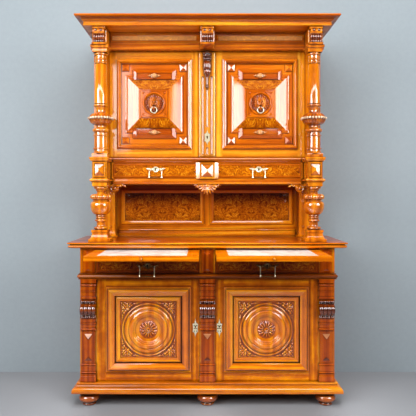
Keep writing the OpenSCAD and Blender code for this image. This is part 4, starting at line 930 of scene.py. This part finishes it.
def squared(outline, places, deeper=0):
    """A four-sided piece from an outline of (half width, height). deeper adds to half its depth."""
    return [skin([[(x + sx * half, y + sy * (half + deeper), z + height) for sx, sy in CORNERS]
                  for half, height in outline]) for x, y, z in places]


BOTH_COLUMNS = [(m * column_x, 92, 0) for m in BOTH]
print("the columns stand", 2 * column_x, "mm apart")

# %% Turn and carve the lower columns
top_z, waist_z, sill_z, frieze_z = 995, 1350, 1526, 2206
z0, z1 = top_z + 75, waist_z - 15
belly_z, ring_up, ring_steps = z1 - 117, -63, 14
ring_lobes = [(40 + 25.6 * math.cos(t), ring_up + 19 * math.sin(t), 6.5 * math.cos(t))
              for t in (math.pi * (i / ring_steps - 0.5) for i in range(ring_steps + 1))]
lower_turning = (
    lifted(z0, [(0, 0), (38, 0)] + bead(44, 2, 17) + curve((34, 18), (26, 28), True) + [(26, 47)]
           + bead(36, 50, 64) + [(29, 65), (29, 68)] + bead(32, 69, 79) + bead(33, 80, 91))
    + curve((30, z0 + 92), (64, belly_z), True, 12) + curve((64, belly_z), (52, z1 - 92), False, 8)
    + lifted(z1, [(49, -90), (49, ring_up - 19)] + ring_lobes + [(30, ring_up + 19), (25, ring_up + 24)]
             + [(25, -27), (32, -25), (32, -15)] + bead(44, -14, 0) + [(0, 0)]))
pedestal = lifted(top_z, [(66, 0), (66, 18), (62, 20)] + curve((62, 20), (46, 58), True)
                  + [(50, 61), (50, 75)])
piece("turned_lower_columns", [turned(lower_turning, BOTH_COLUMNS, 16, 128), *squared(pedestal, BOTH_COLUMNS)],
      column_finish, ["lower_columns"])

# %% [markdown]
# The upper columns carry a gadrooned bulb: its lobes widen up to a string of pearls and close again
# above it. Each point of the outline says how deep the carver's groove is there.

# %% Turn and carve the upper columns
z0, z1 = sill_z + 15, frieze_z - 42
bulb_z, bulb_r, above_pearls = z0 + 218, 74.6, 0.14
lower_lobes = [(33 + (bulb_r - 36) * math.sin(t), 213 - 36 * math.cos(t), 5.5 * math.sin(t) ** 2)
               for t in (math.pi / 2 * i / 10 for i in range(11))]
upper_lobes = [(30 + (bulb_r - 30) * math.cos(t), 40 * (math.sin(t) - math.sin(above_pearls)),
                6 * math.cos(t) ** 0.7) for t in (above_pearls + 1.4 * i / 12 for i in range(13))]
upper_turning = (
    lifted(z0, [(0, 0)] + curve((55, 0), (42, 22), True) + [(42, 24)] + bead(48, 25, 35)
           + [(41.5, 36), (41.5, 106)] + bead(47, 107, 115) + [(40, 116), (40, 130)] + bead(52, 131, 156)
           + curve((38, 157), (31, 166), True) + [(31, 172)] + lower_lobes)
    + lifted(bulb_z, bead(bulb_r - 1, -6, 4) + upper_lobes + [(29, 40), (31, 57), (38, 69)] + bead(45, 71, 87)
             + [(41.6, 90)])
    + lifted(z1, [(36.7, -73)] + bead(38.5, -67, -54) + [(35, -53), (35, -47)] + bead(37.5, -46, -38)
             + [(34.5, -36), (34.5, -18)] + bead(43, -17, 0) + [(0, 0)]))
capital = lifted(z1, [(45, 0), (45, 14)] + curve((45, 14), (52, 25), False) + [(55, 27), (55, 42)])
shaft_plinth = lifted(sill_z, [(47.5, -10), (47.5, 13), (46, 15)])
piece("turned_upper_columns", [turned(upper_turning, BOTH_COLUMNS, 20, 160), *squared(capital, BOTH_COLUMNS),
                               *squared(shaft_plinth, BOTH_COLUMNS)], column_finish, ["upper_columns"])

# %% [markdown]
# ## Carved lumps
# Seen closely, carving in low relief is a set of rounded lumps: a leaf is a few pointed ones, a pearl
# is a round one. One tree puts a ball on each point and stretches it to the length, width and rise
# that the point carries. `Pointed` pulls its two ends out into tips.

# %% Build the carving tree


def carving_tree(material):
    g = Growth("carving", Pointed=0.0, Detail=3)
    ball = g.node("GeometryNodeMeshIcoSphere", None, {"Radius": 1.0, "Subdivisions": g.size("Detail")})
    along, rise, across = g.at()
    thin = 1.0 - abs(along) * g.size("Pointed") * 0.8
    ball = g.put_at(ball, g.point(along, rise * thin, across * thin))
    stretch = g.point(g.named("long"), g.named("rise"), g.named("wide"))
    turn = g.point(0.0, g.named("turned"), 0.0)
    return g.finish_with(g.copies(g.size("Geometry"), ball, turn, Scale=stretch), material)


carving = carving_tree(deep)

# %% Carve lumps and repeat them


def carved(lumps, pointed=0.0, detail=3):
    """Lumps are (x, y, z, half length, half width, rise, turn in degrees from level)."""
    x, y, z, long, wide, rise, turn = zip(*lumps)
    start = mark(raw_mesh(list(zip(x, y, z))), long=long, wide=wide, rise=rise,
                 turned=[-math.radians(t) for t in turn])
    return in_place(grow(carving, start, Pointed=pointed, Detail=detail))


def four_ways(lumps):
    """The same lumps in all four corners of a panel, drawn once for the upper right one."""
    return [(mx * x, y, mz * z, *sizes, mx * mz * turn)
            for x, y, z, *sizes, turn in lumps for mx in BOTH for mz in BOTH]


def over_diagonal(lumps):
    """Lumps and their mirror images in the diagonal of a panel's upper right corner."""
    return lumps + [(z, y, x, *sizes, 90 - turn) for x, y, z, *sizes, turn in lumps]


def moved(lumps, x, z):
    return [(p[0] + x, p[1], p[2] + z, *p[3:]) for p in lumps]


lump = (2, 0, 1, 1, 1, 1, 0)
print("a lump of a corner is drawn once and carved", len(four_ways(over_diagonal([lump]))), "times")

# %% [markdown]
# Frames and raised fields are an outline that runs round a rectangle with mitred corners. The same
# function makes a moulding, a stepped panel or a pyramid, because a pyramid is a moulding that meets
# itself in the middle. Where a piece slopes on some sides only, each side takes its own share.

# %% Write the mitred run


def mitred_run(cx, cz, w, h, front, outline, closed=False, sides=(1, 1, 1)):
    """An outline of (distance in from the edge, height) round a w by h rectangle. The last ring is filled
    unless the outline closes on itself. sides scales the distances beside, below and above."""
    beside, below, above = sides
    return skin([[(cx + sx * (w / 2 - inward * beside), front - height,
                   cz + sz * (h / 2 - inward * (below if sz < 0 else above))) for sx, sz in CORNERS]
                 for inward, height in outline], closed, 4)


print("mouldings run round", len(CORNERS), "mitred corners")

# %% [markdown]
# ## Lower doors' panels
# Each lower door has a carved square: a roundel of rings and rolls, a rosette of fourteen petals in
# its middle, and leaves in the four corners. The roundel and the rosette were turned on a lathe.

# %% Draw the carved square
petals, door_front = 14, 45
ground = [(0, -16), (0, -6), (36, -6), (41, 0), (43, 0), (44, 2), (46, 5), (49, 6), (52, 5), (54, 3),
          (56, 2.5), (68, 2), (69, 0), (72, -3)]
roundel = ([(162, -4), (162, 4), (160, 7), (157, 8), (154, 7), (152, 4), (150, 1), (146, 1)]
           + curve((146, 1), (127, 14), False, 7) + [(122, 13.4), (120, 12), (118.5, 12.6)]
           + curve((118.5, 12.6), (104, 20), False, 6) + [(97, 20.4), (93, 18.6), (91, 15.4), (89, 15)]
           + curve((88, 15), (82, 9.6), True, 5) + [(79.5, 8.6)] + curve((79, 9), (68, 3), False, 5)
           + [(60, 1.4), (0, 1)])
rosette = [(54, -5), (54, 2), (52, 4, 2, 3), (46, 8.6, 4, 6), (38, 11.6, 4, 7), (30, 13.4, 3, 7),
           (22, 12.6, 2, 5), (17, 10, 1, 3), (15.6, 8.6), (14.6, 9), (13.6, 12.4), (11, 15.4), (7.4, 16),
           (5, 14.6), (3.6, 10), (0, 8.6)]
buds = [(126, 42, 126, 12, 8, 9, 45), (158, 44, 88, 6, 5, 6, 0), (88, 44, 158, 6, 5, 6, 0),
        (163, 44, 163, 5, 5, 6, 0)] + over_diagonal([(148, 44, 102, 8, 7, 8, -70)])
fingers = [(143, 45, 143, 24, 8, 7, 45)] + over_diagonal([
    (146, 45, 128, 22, 7, 6, 12), (156, 45, 112, 14, 6, 6, -50), (139, 44, 114, 19, 7, 7, -42),
    (157, 45, 140, 14, 5, 5, 28), (160, 45, 72, 16, 5, 4.5, -80)])
print(len(buds) + len(fingers), "lumps in each corner")

# %% Carve the lower doors' panels
for side, s in SIDES.items():
    x, z = s * lower_door[0], lower_door[1]
    middle = [(x, door_front, z, 90)]
    piece("lower_panel_carved_" + side, [
        mitred_run(x, z, 484, 484, door_front, ground), turned(roundel, middle, around=144),
        turned(rosette, middle, petals, 12 * petals), carved(moved(four_ways(buds), x, z)),
        carved(moved(four_ways(fingers), x, z), 0.8)],
        lower_panel_finish, ["lower_panel_" + side], "lower_%s_door" % side)

# %% [markdown]
# ## Upper doors' panels
# A raised field slopes up on four sides to a square block, and on the block lies a turned rim for
# the mask. Bars with a round wooden stud stand above and below it, and a low pyramid sits in each
# corner. A bar slopes on three sides, and its side towards the block stands upright.

# %% Draw the upper doors' panels
door_front, stud_up = 210, 182
board = [(0, -16), (0, -6)]
field = [(0, -6), (0, -1), (1, 0), (5, 1), (6, 3), (9, 4), (12, 3), (13, 1), (15, 1), (16, 1.4), (92, 15.6),
         (93, 16.4), (99, 16.4), (99.5, 17), (99.5, 22), (100, 23), (101.5, 24)]
bar = [(0, -6), (0, 0), (1, 1), (24, 10), (25, 11), (27, 11), (28, 10), (29, 6)]
low_pyramid = [(0, -6), (0, 0), (1, 1), (22, 9)]
rim = [(75, 22), (75, 25), (73.6, 28), (70.6, 30.4), (67.4, 31), (64, 30), (62, 28), (61, 26), (59, 25.4),
       (57, 24.6), (0, 24.6)]
stud = [(19, 4), (19, 9), (16.4, 10)] + curve((16, 10), (0, 21), False, 8)
wings = four_ways([(28, door_front - 7, stud_up, 11, 10, 8, 0)])
beads = four_ways([(68, door_front - 23, 68, 8, 8, 7, 0)])
print("the rim rises", max(height for radius, height in rim), "mm from the door's face")

# %% Build the upper doors' panels
for side, s in SIDES.items():
    x, z = s * upper_door[0], upper_door[1]
    parts = [mitred_run(x, z, 446, 541, door_front, board), mitred_run(x, z, 371, 371, door_front, field),
             turned(rim, [(x, door_front, z, 90)], around=96),
             turned(stud, [(x, door_front, z + m * stud_up, 90) for m in BOTH], around=40),
             carved(moved(wings, x, z), 1.0), carved(moved(beads, x, z))]
    for m, shares in zip(BOTH, ((1, 0.8, 0), (1, 0, 0.8))):
        parts.append(mitred_run(x, z + m * 189, 279, 64, door_front, bar, sides=shares))
        parts += [mitred_run(x + n * 185, z + m * 234, 45, 45, door_front, low_pyramid) for n in BOTH]
    piece("upper_panel_built_" + side, parts, upper_panel_finish, ["upper_panel_" + side],
          "upper_%s_door" % side)

# %% [markdown]
# ## Lion masks
# The masks are carved in relief within their roundels. A disc of points is raised by a sum of rounded
# swellings: brow, cheeks, muzzle and ears. Round them the mane's locks turn outwards in two rows.

# %% Shape the lion's face
HALF_FACE = [  # across, up, half width, half height, rise
    (0, 2, 21, 26, 9), (0, 15, 11, 6, 2.6), (9.5, 11, 6, 2.6, 2.4), (9, 6, 3.4, 2.2, -4.2),
    (0, 4, 3.4, 10, 4.2), (0, -5, 5.6, 3.4, 4.4), (7, -10, 6.4, 5, 4.4), (0, -18, 7, 3, -7),
    (0, -26, 7, 4.4, 2.6), (15, -4, 5, 8, 1.8), (24, 24, 6, 6, 5), (24, 24, 3, 3, -4)]
SWELLINGS = [(m * x, *rest) for x, *rest in HALF_FACE for m in (BOTH if x else (1,))]
mane_start, second_row, mask_radius = 22, 38, 54


def mask_height(x, z):
    r, turn = math.hypot(x, z), math.atan2(z, x)
    face = math.exp(-((x / 25) ** 4 + (z / 32) ** 4))
    inner = abs(math.sin(8 * turn + r * 0.1)) ** 0.7 * min(max((r - mane_start) / 6, 0), 1) * (r < second_row)
    outer = abs(math.sin(11 * turn - r * 0.07 + 0.5)) ** 0.7 * (r >= second_row)
    mane = (3.6 * inner + 4.4 * outer) * (1 - 0.85 * face)
    return 8 - 5 * (r / 52) ** 2 + mane + 3 * (r < second_row) + sum(
        rise * math.exp(-((x - cx) / w) ** 2 - ((z - cz) / h) ** 2) for cx, cz, w, h, rise in SWELLINGS)


print("the muzzle rises", round(mask_height(0, -5), 1), "mm")

# %% Carve the lion masks


def relief_disc(cx, cz, front, radius, height, around=120, rings=42):
    """A disc that looks to the front, raised by a function of its place, with a flat back."""
    def ring(r, rise):
        turns = (math.tau * k / around for k in range(around))
        flat = ((r * math.cos(t), r * math.sin(t)) for t in turns)
        return [(cx + x, front - rise(x, z), cz + z) for x, z in flat]
    raised = [ring(radius * i / rings, lambda x, z: max(height(x, z), 0.2)) for i in range(rings + 1)]
    return skin(raised + [ring(radius, lambda x, z: 0)], smooth_angle=70)


for side, s in SIDES.items():
    mask = relief_disc(s * upper_door[0], upper_door[1] + 1, door_front - rim[-1][1], mask_radius, mask_height)
    piece("lion_mask_" + side, [mask], mask_finish, ["mask_" + side], "upper_%s_door" % side)

# %% [markdown]
# ## Scrolls
# A scroll bracket is one side outline, swept across. Its ribs are rounded along their length, and
# the hollows between them follow the same outline a little further in.

# %% Write the ribbed sweep


def ribbed(cx, back, outline, half, ribs, depth, across=48):
    """A side outline of (out, height) swept across to half the width each way. ribs swell it by depth."""
    def cut(u):
        swell = depth * (abs(math.sin(math.pi * ribs * u)) ** 0.6 - 1) if 0 < u < 1 else -depth
        return [(cx - half + 2 * half * u, back - max(out + swell * min(out / 8, 1), 0), height)
                for out, height in outline]
    return skin([cut(i / across) for i in range(across + 1)], smooth_angle=50)


def rolled(cx, cz, rx, rz, start, end, steps=14):
    """Part of an ellipse, from one angle to another in degrees; 0 points out and 90 up."""
    turns = (math.radians(start + (end - start) * i / steps) for i in range(steps + 1))
    return [(cx + rx * math.cos(t), cz + rz * math.sin(t)) for t in turns]


print("a roll is", len(rolled(0, 0, 1, 1, 0, 90)), "points")

# %% Carve the volutes
pilaster_x, shaft_face, volute_top = 727, 33, 645
PILASTERS = (-pilaster_x, 0, pilaster_x)
volute_side = lifted(volute_top, (
    [(0, 0), (6, 0), (9, -2)] + rolled(13, -11, 9, 8, 100, -10, 8) + rolled(16, -20, 10, 5, 150, 230, 3)
    + rolled(4, -62, 30, 36, 62, -70, 18) + [(9, -98)] + rolled(6, -106, 8, 7, 60, -90, 6) + [(0, -113)]))
piece("volutes", [ribbed(x, shaft_face - 3, volute_side, 47, 4, 6, 64) for x in PILASTERS],
      glossy_dark, ["volute_brackets"])

# %% [markdown]
# A corbel is a plain swelling head with two pearls over a fluted tail, on a flat block.

# %% Carve the corbels
corbel_x, corbel_top, corbel_face = 664, 2303, 54
head_side = lifted(corbel_top, [(0, 0), (34, 0)] + rolled(22, -18, 16, 18, 90, -30, 10)
                   + [(30, -34), (0, -34)])
tail_side = lifted(corbel_top, [(0, -30), (27, -30)] + rolled(46, -52, 22, 24, 130, 215, 8)
                   + [(25, -68), (28, -72), (27, -84), (20, -93), (0, -93)])
lip = [(0, 0), (0, 30), (3, 36), (5, 37)]
flat_block = [(0, -111), (0, -4), (2, -2), (6, 0)]
block_foot = [(0, -100), (0, 16), (4, 20)]
heads, tails = [], []
for x in (-corbel_x, 0, corbel_x):
    heads += [ribbed(x, corbel_face, head_side, 35, 1, 0.4, 24), mitred_run(x, 2305, 84, 16, corbel_face, lip),
              mitred_run(x, 2259.5, 88, 99, corbel_face, flat_block),
              mitred_run(x, 2211, 88, 12, corbel_face - 10, block_foot)]
    tails += [ribbed(x, corbel_face, tail_side, 34, 5, 6, 60),
              carved([(x + m * 16, 15.5, corbel_top - 14, 8, 8, 5, 0) for m in BOTH])]
piece("corbel_heads", heads, deep, ["corbels"])
piece("corbel_tails", tails, glossy_dark)

# %% [markdown]
# ## Blocks with pyramids
# The blocks between the columns carry a framed pyramid, and a wider one stands between the drawers.
# Their four facets take the light so differently that they look like four woods.

# %% Build the column blocks
block_low, block_high = 1335, 1516
block = (lifted(block_low, [(40, 0), (45, 5), (45, 27), (49, 28), (53, 32)] + bead(58, 33, 49)
                + [(48, 51), (45, 53)])
         + lifted(block_high, [(45, -25)] + curve((45, -25), (58, -11), True) + [(60.5, -9), (60.5, 0)]))
framed_pyramid = [(0, -4), (0, 8), (1, 9), (6, 9), (7, 8), (8, 2), (10, 2), (33, 8.5), (36, 12.4)]
parts = squared(block, [(m * column_x, 122.5, 0) for m in BOTH], 32.5)
parts += [mitred_run(m * column_x, pyramid_z, 76, 88, 45, framed_pyramid) for m in BOTH]
piece("framed_blocks", parts, pyramid_finish, ["column_blocks"])

# %% Build the pyramid between the drawers
waist_front = 186
flanks = [(-24, -13), (-24, -9), (0, 0.6), (1, 1)]
wide_pyramid = [(0, -14), (0, 3), (1, 4), (8, 4), (9, 3), (10, 1), (12, 1), (44, 13.4), (46, 14)]
chamfer = [(0, -4), (0, 0), (8, 7)]
parts = [mitred_run(0, pyramid_z, 96, 103, waist_front, flanks, sides=(1, 0, 0)),
         mitred_run(0, pyramid_z, 96, 103, waist_front, wide_pyramid)]
parts += [mitred_run(m * 609, pyramid_z, 18, 103, waist_front + 14, chamfer, sides=(1, 0, 0)) for m in BOTH]
piece("centre_pyramid", parts, pyramid_finish)

# %% [markdown]
# ## Pilasters
# The pilasters are a stack of mouldings, from the base on the plinth to the cap under the ledge. They
# are far wider than deep, so the squared piece takes 38 mm from half its depth. A thin frame runs
# round the shaft's sunk panel, and a pyramid stands beside the drawers.

# %% Run the pilasters' mouldings
shaft_half, base_z, cap_z = 40, 142, 769.2
stack = (
    lifted(base_z, [(8, 0), (8, 33)] + curve((8, 33), (3, 50), True) + [(6, 51)] + bead(7.6, 52, 63)
           + [(3, 64), (3, 98)] + bead(7, 99, 111) + [(0, 112)])
    + lifted(cap_z, [(0, -318), (3, -316)] + bead(7.6, -314, -298) + [(1, -297), (1, -286)]
             + curve((1, -286), (8, -270), False)
             + [(8, -266), (2, -265), (2, -120), (7, -118), (7, -108), (1, -106), (1, -77), (6, -75), (6, -71),
                (2, -70), (2, -44)] + bead(8, -43, -29) + [(3, -27), (8, -22), (8, 0)]))
thin_frame, pilaster_pyramid = [(0, -2), (0, 1.6), (4, 1.6), (6, -2)], [(0, -3), (0, 6), (6, 6), (33, 20)]
parts = squared([(shaft_half + out, z) for out, z in stack], [(x, 35, 0) for x in PILASTERS], -38)
for x in PILASTERS:
    parts += [mitred_run(x, 353, 68, 186, shaft_face, thin_frame, closed=True),
              mitred_run(x, 875.6, 72, 144.8, 45, pilaster_pyramid, sides=(1, 0.9, 0.9))]
piece("moulded_pilasters", parts, pilaster_finish, ["pilasters"])

# %% [markdown]
# Each sunk panel ends in a three-cornered facet. The upper one leans up towards the light and the
# lower one leans away from it, so the upper one is painted pale and the lower one dark for that light and
# shade.

# %% Build the three-cornered facets


def wedges(z_edge, z_tip, rise, half=28, sunk=2):
    """A facet in each pilaster, from a sunk level edge to a raised tip."""
    front, back = shaft_face - rise, shaft_face + sunk
    faces = [(0, 1, 2), (0, 3, 1), (1, 3, 2), (0, 2, 3)]
    return [in_place(raw_mesh([(x - half, back, z_edge), (x + half, back, z_edge), (x, front, z_tip),
                               (x, back, z_tip)], faces), smooth_angle=2) for x in PILASTERS]


piece("upper_wedges", wedges(440, 405, 12), wedge_painted_light)
# The lower facets take the dark scroll wood as painted shade.
piece("lower_wedges", wedges(267, 292, 9), glossy_dark)

# %% [markdown]
# ## Apron
# A half-round shell hangs from the waist between two leaves, and a curl fills each upper corner of
# the niche. The shell's rays and the pearls round it stand on half an ellipse.

# %% Carve the apron
apron_front, apron_top = 200, 1350


def fan(count, first, rx, rz, step=20):
    """Places across and up on half an ellipse that hangs from the apron's top, with their angles."""
    angles = [first + step * i for i in range(count)]
    return [(rx * math.cos(math.radians(a)), apron_top - 2 + rz * math.sin(math.radians(a)), a)
            for a in angles]


rays = [(x, apron_front - 12, z, 30, 9, 8, a) for x, z, a in fan(9, 190, 34, 34)]
boss = [(0, apron_front - 12, apron_top - 7, 16, 11, 10, 0)]
boss += [(x, apron_front - 10, z, 7, 7, 6, 0) for x, z, a in fan(8, 200, 62, 40)]
leaves = [(m * x, apron_front - 7, apron_top - z, 15, 7, 8, m * turn) for m in BOTH
          for x, z, turn in ((76, 2, -18), (66, 10, -40), (560, 8, 30), (546, 4, 8), (530, 9, 34))]
curl = [(27, -4), (27, 8), (25, 12), (22, 14), (18, 12), (15, 8), (13, 8), (12, 14), (9, 18), (4, 20),
        (0, 20.6)]
curls = turned(curl, [(m * 592, apron_front, apron_top - 24, 90) for m in BOTH], around=40)
piece("apron_curls", [curls], foot_finish)
piece("apron_shell", [carved(rays, 0.7), carved(boss), carved(leaves, 0.9)], column_finish)

# %% [markdown]
# ## Pearls
# A string of small balls runs round each upper column's bulb, where its two rows of lobes meet.

# %% Thread the pearls
pearl_count, string_r, pearl_r = 26, 74, 8
angles = [math.tau * i / pearl_count for i in range(pearl_count)]
pearls = [(x + string_r * math.sin(a), y - string_r * math.cos(a), bulb_z - 0.5, pearl_r, pearl_r, pearl_r, 0)
          for x, y, z in BOTH_COLUMNS for a in angles]
piece("pearls", [carved(pearls, detail=2)], pearl_painted_highlight)

# %% [markdown]
# ## Meeting strip
# The strip that covers the gap between the upper doors is fluted, and a turned drop hangs over it.
# The strip's face is a grid of points, each set back by how deep the flute is there.

# %% Flute the strip
strip_low, strip_high, strip_front, strip_half = 1528, 2198, 198, 51.5
flute_r, bead_r = 8, 6
FLUTES = [(x, 1542, 2046) for x in (-29, 29)] + [(0, 1542, 1592), (0, 1717, 1966)]


def strip_depth(x, z):
    """How deep the strip's face lies at a place: its sides are beaded and its flutes have round ends."""
    def hollow(radius, away):
        return radius * math.sqrt(max(1 - (away / radius) ** 2, 0))
    cuts = [hollow(flute_r, math.hypot(x - cx, max(z0 + flute_r - z, z - z1 + flute_r, 0)))
            for cx, z0, z1 in FLUTES]
    past = abs(x) - (strip_half - bead_r)
    return max(*cuts, bead_r - hollow(bead_r, past) if past > 0 else 0)


def relief_plate(half, low, high, front, back, depth, columns=84, rows=168):
    """A plate whose face lies deeper by a function of its place."""
    def cut(z):
        across = [half * (2 * i / columns - 1) for i in range(columns + 1)]
        return [(x, front + depth(x, z), z) for x in across] + [(half, back, z), (-half, back, z)]
    return skin([cut(low + (high - low) * k / rows) for k in range(rows + 1)], smooth_angle=50)


strip = relief_plate(strip_half, strip_low, strip_high, strip_front, strip_front + 12, strip_depth)
piece("fluted_strip", [strip], strip_finish, ["meeting_strip"], "upper_left_door")

# %% Turn the drop
drop = ([(0, 1966), (3, 1968)] + bead(10, 1969, 1987) + [(5, 1989)] + curve((5, 1991), (19, 2062), False)
        + [(22, 2070), (22, 2078), (14, 2082)] + curve((14, 2084), (24, 2112), True)
        + [(24, 2128), (17, 2142), (17, 2145)] + bead(25, 2146, 2160) + [(15, 2163)] + bead(27, 2166, 2182)
        + [(19, 2184), (27, 2193), (0, 2195)])
fluted_drop = [(r, z, 3.0 if 14 < r < 26 else 0.0) for r, z in drop]
drop_leaves = [(m * x, strip_front - 4, z, long, 6, 8, m * turn)
               for x, z, long, turn in ((13, 2180, 14, 40), (20, 2160, 9, 60)) for m in BOTH]
piece("turned_drop", [turned(fluted_drop, [(0, strip_front - 6, 0)], 9, 72), carved(drop_leaves, 0.8)],
      glossy_dark, body="upper_left_door")

# %% [markdown]
# ## Brass
# Each drawer's handle has a disc with a keyhole between pointed wings. Two straight arms hang from
# its posts, with a thin bar between their feet. The bar is turned upright and laid level by a matrix.

# %% Make the handles


def handle(row, side, plate_finish, cx, front, cz, width, apart, drop_by, out):
    """A plate on the drawer, and on a body of its own a bail that hangs drop_by below the plate's posts."""
    name, bail = "%s_handle_%s" % (row, side), "%s_bail_%s" % (row, side)
    drawer_body, bail_body = "%s_%s_drawer" % (row, side), "%s_%s_bail" % (row, side)
    face, arm_x, foot_z = front - 1.5, apart / 2 + 5, cz - drop_by
    leaf = ((width / 2 - 20, 2, 21, 8, 5, 10), (width / 2 - 28, -5, 10, 6, 5, -50), (22, 0, 11, 9, 5, 0))
    wings = [(cx + m * across, face - 1, cz + up, *sizes, m * turn)
             for across, up, *sizes, turn in leaf for m in BOTH]
    disc = [(19, -1), (19, 3), (17, 5), (15, 4), (0, 4)]
    post = [(6, 0), (6, 4), (4.6, 6), (4.6, out - 6)] + bead(8, out - 8, out + 8) + [(0, out + 8)]
    arm = (lifted(foot_z, [(0, -4), (5.4, -4), (5.8, 0), (3.4, 5), (2.8, 12)])
           + lifted(cz, [(3.2, -8)] + bead(5.4, -6, 6) + [(0, 6)]))
    bar = [(0, -arm_x), (2.2, -arm_x), (2.2, -8), (4.4, 0), (2.2, 8), (2.2, arm_x), (0, arm_x)]
    laid = Matrix.Translation((cx, face - out, foot_z)) @ Matrix.Rotation(math.pi / 2, 4, "Y")
    piece(name + "_plate", [carved(wings, 0.8), turned(disc, [(cx, face, cz, 90)], around=40),
                            turned(post, [(cx + m * apart / 2, face, cz, 90) for m in BOTH], around=24)],
          plate_finish, [name], drawer_body)
    piece(bail + "_arms", [turned(arm, [(cx + m * arm_x, face - out, 0) for m in BOTH], around=20)],
          brass_finish, [bail], bail_body)
    piece(bail + "_bar", [turned(bar, [(0, 0, 0)], 1, 16, laid)], painted_shade_brass, (), bail_body)


for side, s in SIDES.items():
    handle("upper", side, brass_finish, s * 330.5, 200, 1447.5, 121, 69, 51, 16)
    handle("lower", side, painted_shade_brass, s * 366.5, 45, 849.7, 143, 79, 60, 34)

# %% [markdown]
# ## Bun feet
# Three feet show in front and three more stand behind. Each is a squashed ball with a neck, turned
# in one piece.

# %% Turn the feet
bun = ([(0, 0), (36, 0)] + bead(42, 1, 16) + [(34, 18), (34, 21)] + bead(63.5, 22, 66, 20)
       + [(44, 68), (40, 74), (46, 78), (48, 83), (48, 85), (0, 85)])
feet = turned(bun, [(x, y, 0) for x in PILASTERS for y in (60, 496)], around=64)
piece("bun_feet_turned", [feet], foot_finish, ["bun_feet"])

# %% [markdown]
